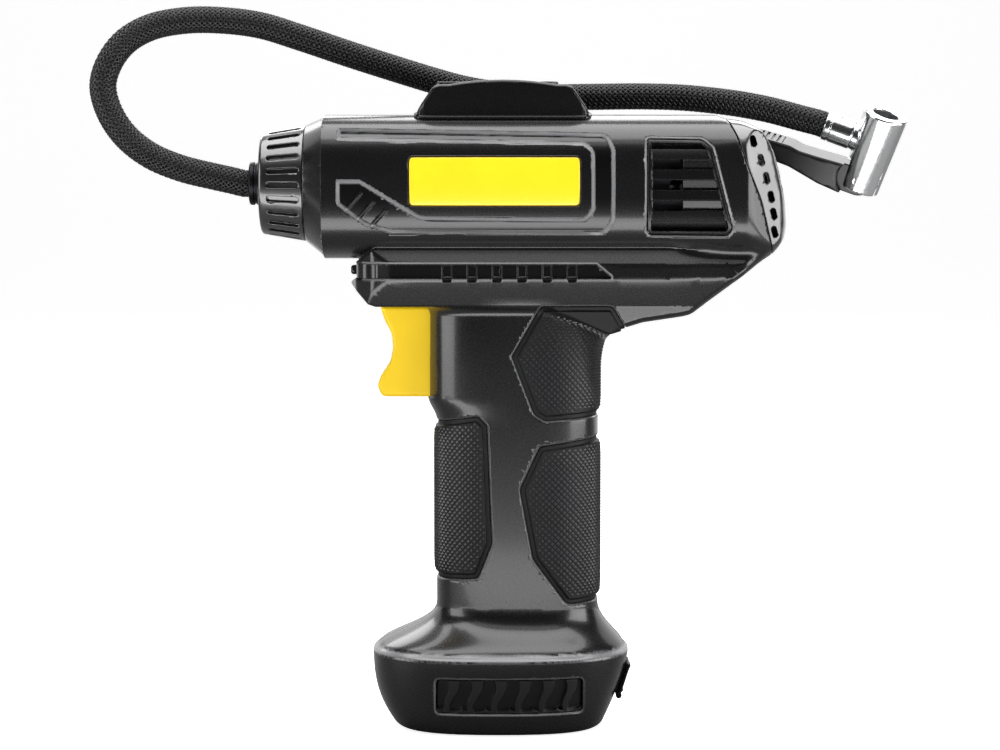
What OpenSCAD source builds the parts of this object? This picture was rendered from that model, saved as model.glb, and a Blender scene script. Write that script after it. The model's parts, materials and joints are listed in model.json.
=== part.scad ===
// Cordless pistol-grip tire inflator. Units are millimetres.
// The origin is the centre of the base's underside. +Z is up, -X is the hose end
// of the barrel, +X its tail, and the split between the two housing halves is at Y = 0.

/* [Barrel] */
// Overall width of the barrel
barrel_w = 56; // [54:1:62]
// Overall height of the barrel
barrel_h = 43; // [42:1:48]
// Distance from the grip's axis to the barrel's front shoulder
barrel_front = 52.6; // [50:0.5:56]
// Distance from the grip's axis to the tail's furthest point
barrel_rear = 85.4; // [84:0.5:92]
// Wall thickness of the moulded housing
wall = 2.4; // [2:0.1:2.8]
// Depth of the trim channel in the barrel's sides
channel_d = 1.3; // [0.8:0.1:1.5]
// Length of the yellow side panel
panel_l = 49.8; // [40:0.5:50]
// Height of the yellow side panel
panel_h = 14.2; // [10:0.5:15]

/* [Block under the barrel] */
// Height of the block between the trigger and the barrel
block_h = 13.9; // [13:0.1:16]
// Width of the block at its side rail
block_w = 49.2; // [46:0.4:52]
// Height of the recessed rail band
rail_h = 4.5; // [3:0.1:5]
// Depth of the rail band
rail_d = 2.2; // [1:0.1:2.4]
// Number of grooves in the rail
rail_grooves = 6; // [2:1:7]
// Distance from one rail groove to the next
rail_pitch = 7.35; // [6:0.05:7.6]
// Width of a rail groove
rail_groove_w = 2.7; // [1.5:0.1:3.5]

/* [Grip] */
// Height of the guard's underside above the ground
guard_z = 127.6; // [127:0.2:136]
// Distance from the grip's front face to its axis
grip_front = 19.5; // [19:0.1:22]
// Distance from the grip's rear face to its axis
grip_rear = 29.4; // [29:0.1:32]
// Width of the grip
grip_w = 38; // [36:0.5:42]
// How far the finger stop stands out below the trigger
finger_stop = 2.6; // [1:0.1:4]
// Thickness of the rubber grip pads
pad_t = 1.6; // [1.2:0.1:1.8]
// How far the pads stand proud of the housing
pad_proud = 0.5; // [0.2:0.1:0.8]

/* [Base] */
// Length of the foot at its rim
base_l = 77.6; // [76:0.4:84]
// Width of the foot at its rim
base_w = 58; // [56:0.5:64]
// Height of the foot's rim above the ground
base_h = 24; // [22:0.5:25]
// Thickness of the cover plate under the foot
cover_t = 2.2; // [1.8:0.1:2.4]

/* [Air pump] */
// Bore of the cylinder
bore_d = 16; // [14:0.5:17]
// Stroke of the piston
stroke = 10; // [8:0.5:11]
// Teeth of the crank gear
gear_teeth = 44; // [40:1:46]
// Teeth of the motor's pinion
pinion_teeth = 10; // [9:1:12]
// Tooth module of the pump's gears
gear_module = 0.65; // [0.6:0.01:0.67]
// Diameter of the motor
motor_d = 27.7; // [24:0.1:28]
// Space beside the motor for its end cap and the fan
motor_tail = 11.5; // [11:0.5:14]
// Diameter of the cooling fan
fan_d = 23; // [18:0.5:24]
// Blades of the cooling fan
fan_blades = 7; // [5:1:9]

/* [Battery] */
// Diameter of a battery cell
cell_d = 18.4; // [18:0.1:18.6]
// Length of a battery cell
cell_l = 65; // [60:0.5:66]

/* [Trigger and buttons] */
// Width of the trigger
trigger_w = 13; // [10:0.5:14]
// Travel of the trigger
trigger_travel = 6; // [3:0.5:6]
// Diameter of the push buttons
button_d = 6; // [4:0.1:6.5]
// Travel of the push buttons
button_travel = 0.6; // [0.3:0.1:0.7]

/* [Display] */
// Length of the display housing
display_l = 52; // [48:0.5:54]
// Width of the display housing
display_w = 36; // [34:0.5:37]
// Height of the display housing above the barrel
display_h = 10; // [9.2:0.1:11]

/* [Collar and hose] */
// Diameter of the nose collar
collar_d = 34.8; // [32:0.1:36]
// Length of the nose collar
collar_l = 13.3; // [11:0.1:15]
// Number of grip slots round the collar
collar_slots = 24; // [16:1:28]
// Diameter of the braided hose
hose_d = 8.4; // [7:0.1:9]

/* [Air chuck] */
// Diameter of the chuck body
chuck_d = 14; // [13:0.1:15]
// Length of the chuck body
chuck_l = 25.6; // [25:0.1:30]
// Diameter of the bore that takes the tyre valve
valve_bore_d = 8.2; // [8:0.1:8.6]
// Depth of the bore that takes the tyre valve
valve_bore_depth = 7; // [6:0.1:7]
// Width of the thumb lever
lever_w = 10; // [8:0.5:12]

/* [Fasteners and fits] */
// Shank diameter of the housing screws
screw_d = 2.5; // [2:0.1:2.8]
// Head diameter of the housing screws
screw_head_d = 4.8; // [4:0.1:5]
// Gap between pieces that are assembled once
fit = 0.2; // [0.1:0.05:0.25]
// Gap between pieces that slide on each other
slide_gap = 0.3; // [0.25:0.05:0.4]
// Radial gap of shafts that turn in a bore
running_gap = 0.05; // [0.03:0.01:0.1]

/* [Hidden] */
$fn = 48;
eps = 0.01;
fine = 36; // points round the outer surfaces
coarse = 20; // points round the inner surfaces
far = 200; // larger than the whole part, for cutting tools

// Heights and places that follow from the sizes above
barrel_bottom = guard_z + block_h;
barrel_top = barrel_bottom + barrel_h;
barrel_z = (barrel_bottom + barrel_top) / 2;
barrel_curve = 3.2; // squareness of the barrel's section, where 2 is an ellipse
grip_curve = 2.6; // squareness of the grip's and the foot's section
neck_l = 6; // cone between the collar and the barrel's front shoulder
neck_front = -barrel_front - neck_l;
nose_z = barrel_z + 1;
flare_top = base_h + 14; // where the grip starts to widen towards the foot
base_x0 = -base_l / 2;
base_x1 = base_l / 2;
rail_top = barrel_bottom - 1.1;
rail_bottom = rail_top - rail_h;
rail_end = 33;
rail_first = -15.9;
facet_top = barrel_bottom + 3.9;
block_nose = -45;
panel_x = -1.9;
panel_z = barrel_z + 1.5;
panel_r = 1.6;
side_y = barrel_w / 2;
panel_seat = 0.5; // rebate for the panel below the channel's land
cell_x = 5;
cell_bottom = base_h + 1.2;
screw_y = 12; // underside of the housing screws' heads
floor_top = cover_t + 0.4 + wall;

// ---------------------------------------------------------------- shape helpers
function ease(t) = t * t * (3 - 2 * t);
function unit(t) = max(0, min(1, t));

// Point k of count round a superellipse with half axes a and b
function squircle(a, b, curve, k, count) =
    let (t = 360 * k / count, c = cos(t), s = sin(t))
    [a * sign(c) * pow(abs(c), 2 / curve), b * sign(s) * pow(abs(s), 2 / curve)];

// Closed solid through a stack of rings that all have the same number of points
module loft(rings) {
    n = len(rings[0]);
    last = (len(rings) - 1) * n;
    polyhedron(
        points = [for (ring = rings) each ring],
        faces = concat(
            [[for (k = [0:n - 1]) k]],
            [[for (k = [n - 1:-1:0]) last + k]],
            [for (i = [0:len(rings) - 2]) for (k = [0:n - 1])
                let (a = i * n + k, b = i * n + (k + 1) % n)
                each [[a, b + n, b], [a, a + n, b + n]]]));
}

// Extrudes an outline drawn in X and Z across the part, from y0 to y1
module across(y0 = -far / 2, y1 = far / 2) {
    translate([0, y1, 0]) rotate([90, 0, 0]) linear_extrude(y1 - y0) children();
}

// Extrudes an outline drawn in Y and Z along the part, from x0 to x1
module along(x0, x1) {
    translate([x0, 0, 0]) rotate([90, 0, 90]) linear_extrude(x1 - x0) children();
}

// Cylinder along X from x0 to x1
module rod_x(r, x0, x1) {
    translate([x0, 0, 0]) rotate([0, 90, 0]) cylinder(r = r, h = x1 - x0);
}

// Cylinder along Y from y0 to y1
module rod_y(r, y0, y1) {
    translate([0, y0, 0]) rotate([-90, 0, 0]) cylinder(r = r, h = y1 - y0);
}

// Box from one corner to the opposite one
module box(low, high) {
    translate(low) cube(high - low);
}

// Rectangle with rounded corners, drawn in X and Z about its centre
module round_rect(size, r) {
    square([size.x - 2 * r, size.y], center = true);
    square([size.x, size.y - 2 * r], center = true);
    for (sx = [-1, 1], sy = [-1, 1])
        translate([sx * (size.x / 2 - r), sy * (size.y / 2 - r)]) circle(r);
}

// Mirrors a left-hand piece to the right-hand side
module right() {
    mirror([0, 1, 0]) children();
}

module left_half() {
    intersection() {
        children();
        translate([-far, -far, -far]) cube([3 * far, far, 3 * far]);
    }
}

// ---------------------------------------------------------------- outer body
// Ring of the barrel at x, grown or shrunk by grow all round
function barrel_ring(x, grow, count) =
    let (u = unit((x - neck_front) / neck_l),
        a = ((collar_d + 4) * (1 - u) + (barrel_w - 1.2) * u) / 2,
        b = (collar_d * (1 - u) + (barrel_h - 0.8) * u) / 2,
        full = x > -barrel_front + eps,
        curve = full ? barrel_curve : 2.2 + (barrel_curve - 2.2) * u,
        z = full ? barrel_z : nose_z + (barrel_z - nose_z) * u)
    [for (k = [0:count - 1])
        let (p = squircle((full ? barrel_w / 2 : a) + grow, (full ? barrel_h / 2 : b) + grow,
            curve, k, count))
        [x, p.x, z + p.y]];

// Side view of the tail, as an outline in X and Z
module tail_outline() {
    polygon([[-far, 0], [-far, far * 2], [barrel_rear - 20, far * 2],
        [barrel_rear - 20, barrel_top], [barrel_rear - 14, barrel_top - 0.9],
        [barrel_rear - 10.4, barrel_top - 2.1], [barrel_rear - 8.3, barrel_top - 4.5],
        [barrel_rear - 4.4, barrel_top - 10.5], [barrel_rear - 2.2, barrel_top - 18],
        [barrel_rear - 0.6, barrel_top - 25.5], [barrel_rear, barrel_bottom + 10],
        [barrel_rear - 0.9, barrel_bottom + 5.6], [barrel_rear - 4.1, barrel_bottom + 1.8],
        [56.6, guard_z - 3], [54.2, guard_z - 3.6], [42.1, guard_z - 5.4],
        [34.5, guard_z - 7.8], [30, guard_z - 14], [30, 0]]);
}

// Top view of the tail, as an outline in X and Y
module tail_plan() {
    reach = 30;
    polygon(concat([[-far, side_y + 1], [-far, -side_y - 1]],
        [for (k = [-12:12]) let (p = squircle(reach, side_y + 0.6, 3.6, k, 48))
            [barrel_rear - reach + p.x, p.y]]));
}

module barrel_body(grow, count) {
    start = neck_front - grow;
    intersection() {
        loft([for (x = [start, -barrel_front - grow, -barrel_front - grow + 2 * eps,
            barrel_rear + 5]) barrel_ring(x, grow, count)]);
        across() offset(delta = grow) tail_outline();
        linear_extrude(2 * far) offset(delta = grow) tail_plan();
    }
}

// Side view of the block with its nose, guard and fillet above the trigger
module block_outline() {
    stop_x = -grip_front - finger_stop;
    r = 5.5;
    polygon(concat(
        [[block_nose + 1.4, rail_top], [block_nose + 1.4, rail_bottom],
            [block_nose, guard_z + 6.9], [block_nose + 5.7, guard_z + 0.8],
            [block_nose + 8, guard_z]],
        [for (t = [90:-15:0]) [stop_x - r + r * cos(t), guard_z - r + r * sin(t)]],
        [[stop_x, guard_z - 8], [30, guard_z - 8], [barrel_rear, guard_z - 8],
            [barrel_rear, barrel_z], [block_nose + 8.4, barrel_z],
            [block_nose + 8.4, facet_top]]));
}

// Section of the block, as an outline in Y and Z
module block_section() {
    half = block_w / 2;
    right_side = [[half - 5.8, guard_z - 10], [half - 4, guard_z], [half - 0.4, rail_bottom - 1],
        [half, rail_bottom], [half, rail_top], [half - 2.8, facet_top], [half - 2.8, barrel_z]];
    polygon(concat(right_side, [for (k = [len(right_side) - 1:-1:0])
        [-right_side[k].x, right_side[k].y]]));
}

// Top view of the block
module block_plan() {
    half = block_w / 2;
    side = [[block_nose, half - 15], [block_nose + 2, half - 8], [block_nose + 7, half - 2],
        [block_nose + 12, half], [50, half + 1], [70, half - 2], [80, half - 8],
        [barrel_rear, half - 14]];
    polygon(concat(side, [for (k = [len(side) - 1:-1:0]) [side[k].x, -side[k].y]]));
}

module block_body(grow) {
    intersection() {
        across() offset(delta = grow) block_outline();
        along(-far, far) offset(delta = grow) block_section();
        linear_extrude(2 * far) offset(delta = grow) block_plan();
        across() offset(delta = grow) tail_outline();
    }
}

// Front, rear and half width of the grip and foot at height z
function flare(z) = unit((flare_top - z) / (flare_top - base_h));
function tuck(z) = unit(1 - z / base_h);
function grip_x0(z) = z < base_h
    ? base_x0 + 7.6 * pow(tuck(z), 2.6)
    : -grip_front + (grip_front + base_x0) * ease(pow(unit((flare(z) - 0.2) / 0.8), 2))
        - finger_stop * ease(unit((z - guard_z + 34.6) / 7));
function grip_x1(z) = z < base_h
    ? base_x1 - 8.5 * pow(tuck(z), 1.4)
    : grip_rear + (base_x1 - grip_rear) * (flare(z) + ease(flare(z))) / 2
        + 4.3 * pow(unit((z - guard_z + 19.6) / 15.4), 2.2);
function grip_half(z) = z < base_h
    ? base_w / 2 - 6.5 * pow(tuck(z), 2)
    : grip_w / 2 + (base_w - grip_w) / 2 * ease(pow(unit((flare(z) - 0.05) / 0.95), 1.3));
function grip_ring(z, grow, count) =
    let (x0 = grip_x0(z) - grow, x1 = grip_x1(z) + grow)
    [for (k = [0:count - 1])
        let (p = squircle((x1 - x0) / 2, grip_half(z) + grow, grip_curve, k, count))
        [(x0 + x1) / 2 + p.x, p.y, z]];

foot_levels = concat([for (f = [0.06, 0.15, 0.28, 0.5, 0.75, 0.95]) f * base_h],
    [base_h + 0.3, base_h + 1.2]);
grip_levels = concat([for (dz = [3:2:13]) base_h + dz], [flare_top + 1],
    [for (dz = [-35, -32, -29.5, -27.6, -19, -14, -9, -4, 4]) guard_z + dz]);

module grip_body(grow, count, levels) {
    loft([for (z = levels) grip_ring(z, grow, count)]);
}

// The whole moulded body, grown outwards
module body(grow = 0) {
    barrel_body(grow, fine);
    block_body(grow);
    grip_body(grow, fine, concat([0], foot_levels, grip_levels));
}

// The hollow inside the body, above the foot's floor
hollow_levels = concat([floor_top, 0.6 * base_h, base_h - 0.5], [for (dz = [2, 6, 10, 14]) base_h + dz]);

module hollow(inset) {
    barrel_body(-inset, coarse);
    block_body(-inset);
    grip_body(-inset, coarse, concat(hollow_levels,
        [for (dz = [-35, -27.6, -14, -4, 4]) guard_z + dz]));
}

// ---------------------------------------------------------------- regions on the body
// Trim channel round the yellow panel
module channel_outline() {
    front = -barrel_front + 4.9;
    polygon([[front, barrel_top - 4.8], [31.1, barrel_top - 6.3], [32.8, barrel_top - 10.9],
        [32.9, barrel_bottom + 11.2], [30, barrel_bottom + 7.7], [-31.8, barrel_bottom + 8.3],
        [front + 8, barrel_bottom + 10.5], [front, barrel_bottom + 16.5],
        [front, barrel_bottom + 23.1], [front + 6.5, barrel_bottom + 23.1],
        [-23.6, barrel_bottom + 12.4], [24.5, barrel_bottom + 11.8],
        [26.8, barrel_bottom + 14.7], [26.7, barrel_top - 11.5], [24.4, barrel_top - 9.1],
        [front, barrel_top - 7.7]]);
}

// Diagonal ribs in the channel's front pocket
module channel_ribs() {
    for (k = [0:2])
        translate([-44.5 + 3.6 * k, barrel_bottom + 15.6 - 2.5 * k])
            rotate(48) square([11, 0.5], center = true);
}

module panel_outline(gap = 0) {
    translate([panel_x, panel_z]) round_rect([panel_l + 2 * gap, panel_h + 2 * gap], panel_r + gap);
}

vent_pitch = (barrel_h - 15) / 4.7;
vent_top = barrel_top - 13.6;

module vent_outline() {
    polygon([[42.7, barrel_top - 7.6], [58.6, barrel_top - 7.9], [61.4, barrel_top - 10.2],
        [67.6, barrel_bottom + 9.2], [66.3, barrel_bottom + 7.2], [43.6, barrel_bottom + 7.5],
        [42.7, barrel_bottom + 8.6]]);
}

// Side view of the seam between the housing and the rear cap
module cap_outline() {
    polygon([[barrel_rear - 21.8, barrel_top + 5], [barrel_rear - 16.1, barrel_top - 7.8],
        [barrel_rear - 13.7, barrel_top - 15.2], [barrel_rear - 9.2, barrel_top - 25.4],
        [barrel_rear - 5.6, barrel_bottom + 3.8], [barrel_rear - 4.6, barrel_bottom - 2],
        [barrel_rear + 20, barrel_bottom - 2], [barrel_rear + 20, barrel_top + 5]]);
}

module upper_pad_outline() {
    polygon([[3.2, guard_z - 14.8], [11.8, guard_z + 0.4], [42, guard_z + 0.4],
        [42, guard_z - 33], [28.4, guard_z - 33], [13, guard_z - 34], [9.8, guard_z - 32]]);
}

module lower_pad_outline() {
    polygon([[5.6, guard_z - 54.3], [11.5, guard_z - 41.5], [28.4, guard_z - 39.4],
        [42, guard_z - 39.4], [42, flare_top + 1.4], [19.6, flare_top + 0.6],
        [9.5, flare_top + 14.4]]);
}

module front_pad_outline() {
    polygon([[-32, guard_z - 34.9], [-20.1, guard_z - 34.9], [-6.8, guard_z - 32.6],
        [-4.1, guard_z - 34.9], [-2.7, flare_top + 18.9], [-6.8, flare_top + 8.5],
        [-19, flare_top + 7.6], [-32, flare_top + 7.6]]);
}

module base_window_outline(gap = 0) {
    translate([2.5, base_h / 2 + 0.5]) round_rect([43.4 + 2 * gap, 10.4 + 2 * gap], 1.6 + gap);
}

// ---------------------------------------------------------------- housing halves
housing_screw_spots = [[-44, barrel_top - 8], [-45, barrel_bottom + 9],
    [-29, guard_z + 5.6], [60, guard_z + 5], [20, guard_z + 3], [2.6, guard_z - 29.4],
    [-25, 13]];
base_spot = [base_l / 2 - 18.8, base_w / 2 - 17];
base_screw_spots = [for (i = [-1, 1], j = [-1, 1]) [i * base_spot.x, j * base_spot.y]];
board_y = 6; // face of the main board towards the split
board_t = 1.6;
board_spots = [[-36, barrel_bottom + 11], [24, barrel_bottom + 11],
    [-36, barrel_top - 9], [24, barrel_top - 9]];
switch_x0 = -6;
switch_x1 = 18;
switch_z0 = guard_z - 25;
switch_z1 = guard_z - 6;
switch_half = 7.5;
holder_y = cell_d / 2 + 0.4;
charge_board_z = 9;
port_z = charge_board_z + 3.2;

// Moulded peg along Y from y0 at its tip to y1 in the wall, with draft
module peg(r, y0, y1) {
    hull() {
        rod_y(r, min(y0, y0 + 0.1 * sign(y1)), max(y0, y0 + 0.1 * sign(y1)));
        rod_y(r + 0.6, min(y1, y1 + 0.1 * sign(y1)), max(y1, y1 + 0.1 * sign(y1)));
    }
}

// Pegs that reach in from the left wall to hold the parts inside
module left_pegs() {
    for (spot = housing_screw_spots)
        translate([spot.x, 0, spot.y]) peg(3, 0, -far / 5);
    for (z = [switch_z0 + 4, switch_z1 - 4])
        translate([(switch_x0 + switch_x1) / 2, 0, z]) peg(2.5, -switch_half - fit, -far / 5);
    for (dx = [-cell_d / 2, cell_d / 2], z = [cell_bottom + 12, cell_bottom + cell_l - 12])
        translate([cell_x + dx, 0, z]) peg(2.5, -cell_d / 2 - fit, -far / 5);
    translate([motor_x, 0, motor_z + 9]) peg(2, frame_y0 - fit, -far / 5);
    translate([gear_x - 14, 0, motor_z]) peg(2, frame_y0 - fit, -far / 5);
}

module right_pegs() {
    for (spot = housing_screw_spots)
        translate([spot.x, 0, spot.y]) peg(3.8, 0, far / 5);
    for (z = [switch_z0 + 4, switch_z1 - 4])
        translate([(switch_x0 + switch_x1) / 2, 0, z]) peg(2.5, switch_half + fit, far / 5);
    for (z = [cell_bottom + 12, cell_bottom + cell_l - 12])
        translate([cell_x, 0, z]) peg(2.5, holder_y + 1.6 + fit, far / 5);
    for (spot = board_spots)
        translate([spot.x, 0, spot.y]) peg(2.4, board_y + board_t + fit, far / 5);
}

// Everything that is cut out of both halves alike
module housing_cuts() {
    // trim channels, with their ribs left standing, and the pockets for the panels
    for (side = [-1, 1]) scale([1, side, 1]) {
        difference() {
            across(-far, 0) difference() {
                channel_outline();
                channel_ribs();
            }
            barrel_body(-channel_d, fine);
        }
        across(-far, -side_y + channel_d + panel_seat) panel_outline(fit);
        across(-far / 2, -side_y / 2) vent_outline();
        across(-far / 2, -base_w / 4) base_window_outline(fit / 2);
    }
    // rail band with its grooves
    difference() {
        across() polygon([[block_nose - 5, rail_bottom], [rail_end - 0.6, rail_bottom],
            [rail_end - 0.6, rail_bottom + 0.8], [rail_end - 5, rail_top],
            [block_nose - 5, rail_top]]);
        block_body(-rail_d);
    }
    difference() {
        across() for (k = [0:rail_grooves - 1])
            translate([rail_first + k * rail_pitch - rail_groove_w / 2, rail_bottom - 0.9])
                square([rail_groove_w, rail_h]);
        block_body(-rail_d - 0.8);
        barrel_body(1, coarse);
    }
    // pockets for the rubber pads
    difference() {
        across() offset(delta = fit / 2) {
            upper_pad_outline();
            lower_pad_outline();
            front_pad_outline();
        }
        pad_bed(pad_proud - pad_t - fit / 2);
    }
    // seat of the rear cap
    across() offset(delta = fit / 2) cap_outline();
    // opening of the collar's spigot and bore for the lens
    translate([0, 0, nose_z]) rod_x(collar_d / 2 - 2.4, neck_front - 5, -barrel_front + 5, $fn = 48);
    translate([0, 0, (rail_top + rail_bottom) / 2])
        box([block_nose - 5, -5 - fit, -1.4 - fit], [block_nose + 12, 5 + fit, 1.4 + fit]);
    // opening for the display's cable
    box([-12, -10, barrel_top - 6], [14, 10, barrel_top + 5]);
    // trigger slot
    box([-grip_front - finger_stop - 5, -trigger_w / 2 - slide_gap, guard_z - 27.6 - slide_gap],
        [-grip_front + wall + 3, trigger_w / 2 + slide_gap, guard_z]);
    // charging socket
    box([base_x1 - 8, -4.7 - fit, port_z - 1.9 - fit], [base_x1 + 5, 4.7 + fit, port_z + 1.9 + fit]);
    // seat of the cover plate, with its screw holes
    translate([0, 0, -1]) linear_extrude(1 + cover_t + 0.2) cover_plan(fit);
    for (spot = base_screw_spots)
        translate([spot.x, spot.y, 0]) cylinder(r = screw_d / 2 + fit / 2, h = 12);
}

module inner_space() {
    difference() {
        hollow(wall);
        for (spot = base_screw_spots) translate([spot.x, spot.y, 0]) cylinder(r = 3, h = 13);
        for (spot = [[-16, 6], [16, 6], [-16, -6], [16, -6]])
            translate([spot.x, spot.y, 0]) cylinder(r = 2, h = charge_board_z - fit);
    }
}

module housing_left() {
    $fn = 16;
    color("#232326") left_half() difference() {
        body();
        difference() {
            inner_space();
            left_pegs();
        }
        housing_cuts();
        for (spot = housing_screw_spots)
            translate([spot.x, 0, spot.y]) rod_y(screw_d / 2 + fit / 2, -6, 1);
    }
}

module housing_right() {
    $fn = 16;
    color("#232326") difference() {
        right() left_half() body();
        difference() {
            inner_space();
            right_pegs();
        }
        housing_cuts();
        for (spot = housing_screw_spots) translate([spot.x, 0, spot.y]) {
            rod_y(screw_d / 2 + fit / 2, -1, far / 4);
            rod_y(screw_head_d / 2 + fit, screw_y, far / 4);
        }
    }
}

module housing_screws() {
    color("silver") for (spot = housing_screw_spots) translate([spot.x, 0, spot.y]) difference() {
        union() {
            rod_y(screw_d / 2, -4.5, screw_y);
            rod_y(screw_head_d / 2, screw_y, screw_y + 1.8);
        }
        translate([-0.4, screw_y + 0.8, -1.5]) cube([0.8, 2, 3]);
        translate([-1.5, screw_y + 0.8, -0.4]) cube([3, 2, 0.8]);
    }
}

// ---------------------------------------------------------------- trim on the barrel
module side_panel() {
    across(-side_y - 0.2, -side_y + channel_d + panel_seat - 0.1) panel_outline();
}

module side_panel_left() {
    color("gold") side_panel();
}

module side_panel_right() {
    color("gold") right() side_panel();
}

// Louvred insert: a plate with slats behind the window, and a flange inside the wall
module vent_solid() {
    difference() {
        union() {
            intersection() {
                across(-far / 2, -8) offset(delta = -fit) vent_outline();
                barrel_body(-0.5, fine);
            }
            intersection() {
                across(-far / 2, -8) offset(delta = 1.2) vent_outline();
                barrel_body(-wall - fit, coarse);
            }
        }
        barrel_body(-wall - 1.2, fine);
        // recesses between the slats, and openings right through in three of them
        difference() {
            across(-far / 2, -8) intersection() {
                offset(delta = -fit - 0.8) vent_outline();
                for (k = [-1:3]) translate([40, vent_top - (k + 0.5) * vent_pitch]) square([40, vent_pitch / 2]);
            }
            barrel_body(-2, fine);
        }
        across(-far / 2, -8) for (k = [0:2])
            translate([44.3, vent_top - (k + 0.5) * vent_pitch]) square([8.6, vent_pitch / 2]);
    }
}

module vent_grille_left() {
    color("#1a1a1c") vent_solid();
}

module vent_grille_right() {
    color("#1a1a1c") right() vent_solid();
}

module tail_body(grow, count) {
    barrel_body(grow, count);
    block_body(grow);
}

// Tail cap: a shell with a spigot inside the housing and slots along its band
module rear_cap() {
    color("#1d1d20") difference() {
        union() {
            intersection() {
                tail_body(0, fine);
                across() offset(delta = -fit / 2) cap_outline();
            }
            intersection() {
                tail_body(-wall - fit, coarse);
                across() translate([-3, 0]) cap_outline();
            }
        }
        tail_body(-wall - 1.6, coarse);
        for (side = [-1, 1]) for (k = [0:5]) {
            z = barrel_top - 10 - k * 5;
            x = barrel_rear - 10.5 + 1.3 * k - 0.05 * k * k;
            translate([x, side * side_y, z]) rotate([0, -20 + 2 * k, 0])
                cube([1.6, barrel_w * 0.7, 3.2], center = true);
        }
    }
}

// ---------------------------------------------------------------- nose, gland and hose
module nose_collar() {
    r = collar_d / 2;
    front = neck_front - 0.2 - collar_l;
    color("#202022") translate([0, 0, nose_z]) difference() {
        translate([front, 0, 0]) rotate([0, 90, 0]) rotate_extrude() difference() {
            union() {
                polygon([[0, 0], [r - 3.6, 0], [r - 2.4, 0.5], [r - 1.8, 1.9], [r, collar_l],
                    [0, collar_l]]);
                square([r - 2.4 - fit, collar_l + 5]);
            }
            square([gland_r + running_gap, 3 * collar_l], center = true);
            translate([0, 2.4]) square([r - 4.8, 3 * collar_l]);
            translate([0, -1]) square([gland_r + running_gap, 3 * collar_l]);
        }
        for (k = [0:collar_slots - 1]) rotate([360 * k / collar_slots, 0, 0])
            box([front + 2.7, -0.85, r - 1.5], [front + collar_l - 1.1, 0.85, r + 1]);
    }
}

gland_r = 4.6;
gland_front = neck_front - 0.2 - collar_l - 3.6;
gland_rear = neck_front - 0.2 - collar_l + 14;

module hose_gland() {
    face = neck_front - 0.2 - collar_l;
    color("#b9bcc0") translate([0, 0, nose_z]) difference() {
        union() {
            rod_x(6.5, gland_front, face - 0.05);
            rod_x(gland_r, face - 0.06, face + 8);
            rod_x(1.9, face + 7.9, gland_rear);
        }
        rod_x(1, gland_front + 1, gland_rear + 1);
    }
}

// Route of the hose, from the gland's face to the chuck's ferrule
hose_path = [[-76, 0, 164], [-81, 0, 164.9], [-86, 0, 166], [-96.5, 0, 168.6], [-106, 1, 172.6],
    [-113.5, 2, 178.5], [-118.4, 3, 185.9], [-120.3, 4, 193.5], [-118.5, 5, 200.3],
    [-113.9, 7, 206.8], [-106.5, 9, 211.3], [-96.2, 11, 213.5], [-85.7, 13, 213.7],
    [-73.7, 15, 212.3], [-61.6, 17, 208.7], [-46.5, 19.5, 203.7], [-31.2, 21.5, 198.9],
    [-21.6, 22.4, 196], [-12.4, 23, 193.5], [-2.8, 23.2, 191.8], [5.9, 23.2, 191.1],
    [16.1, 23.2, 190.7], [27.6, 23.4, 190.8], [43.1, 24.6, 191], [55.6, 25.8, 190.7],
    [65, 26.7, 189.9], [74.4, 27.4, 188.7], [83.8, 27.6, 186.9], [93, 27, 184.4]];

// Tube along a route, with its rings square to it
module tube(path, r, sides) {
    count = len(path);
    function dir(i) = let (v = path[min(i + 1, count - 1)] - path[max(i - 1, 0)]) v / norm(v);
    loft([for (i = [0:count - 1])
        let (d = dir(i), u0 = cross([0, 1, 0], d), u = u0 / norm(u0), v = cross(d, u))
        [for (k = [0:sides - 1]) let (t = 360 * k / sides)
            path[i] + r * (cos(t) * u + sin(t) * v)]]);
}

module hose() {
    start = [gland_front - 0.02, 0, nose_z];
    finish = chuck_point([-chuck_d / 2 - ferrule_l - 0.52, 0, ferrule_z]);
    color("#151515") tube(concat([start, start - [1.5, 0, 0]],
        [for (k = [1:len(hose_path) - 1]) hose_path[k]],
        [finish - 2 * chuck_dir(), finish]), hose_d / 2, 12);
}

// ---------------------------------------------------------------- air chuck
// The chuck's own frame has Z towards its mouth and the hose along its -X
chuck_foot = [111.8, 28.5, 162.5];
chuck_tilt = 20.5;
chuck_lean = 17;
chuck_spin = -10;
chuck_taper = 0.9;
seal_l = 2.4;
ferrule_l = 9.1;
ferrule_z = chuck_l - 10.1;
lever_pivot = [-1.2, 0, 3.6];
lever_tongue = 6;
lever_pin_r = 1.25;

module place_chuck() {
    translate(chuck_foot) rotate([chuck_tilt, chuck_lean, 0]) rotate(chuck_spin) children();
}

function chuck_point(p) =
    let (a = p.x * cos(chuck_spin) - p.y * sin(chuck_spin),
        b = p.x * sin(chuck_spin) + p.y * cos(chuck_spin),
        y = b * cos(chuck_tilt) - p.z * sin(chuck_tilt),
        z = b * sin(chuck_tilt) + p.z * cos(chuck_tilt))
    chuck_foot + [a * cos(chuck_lean) + z * sin(chuck_lean), y,
        -a * sin(chuck_lean) + z * cos(chuck_lean)];
function chuck_dir() = chuck_point([1, 0, 0]) - chuck_point([0, 0, 0]);

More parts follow.
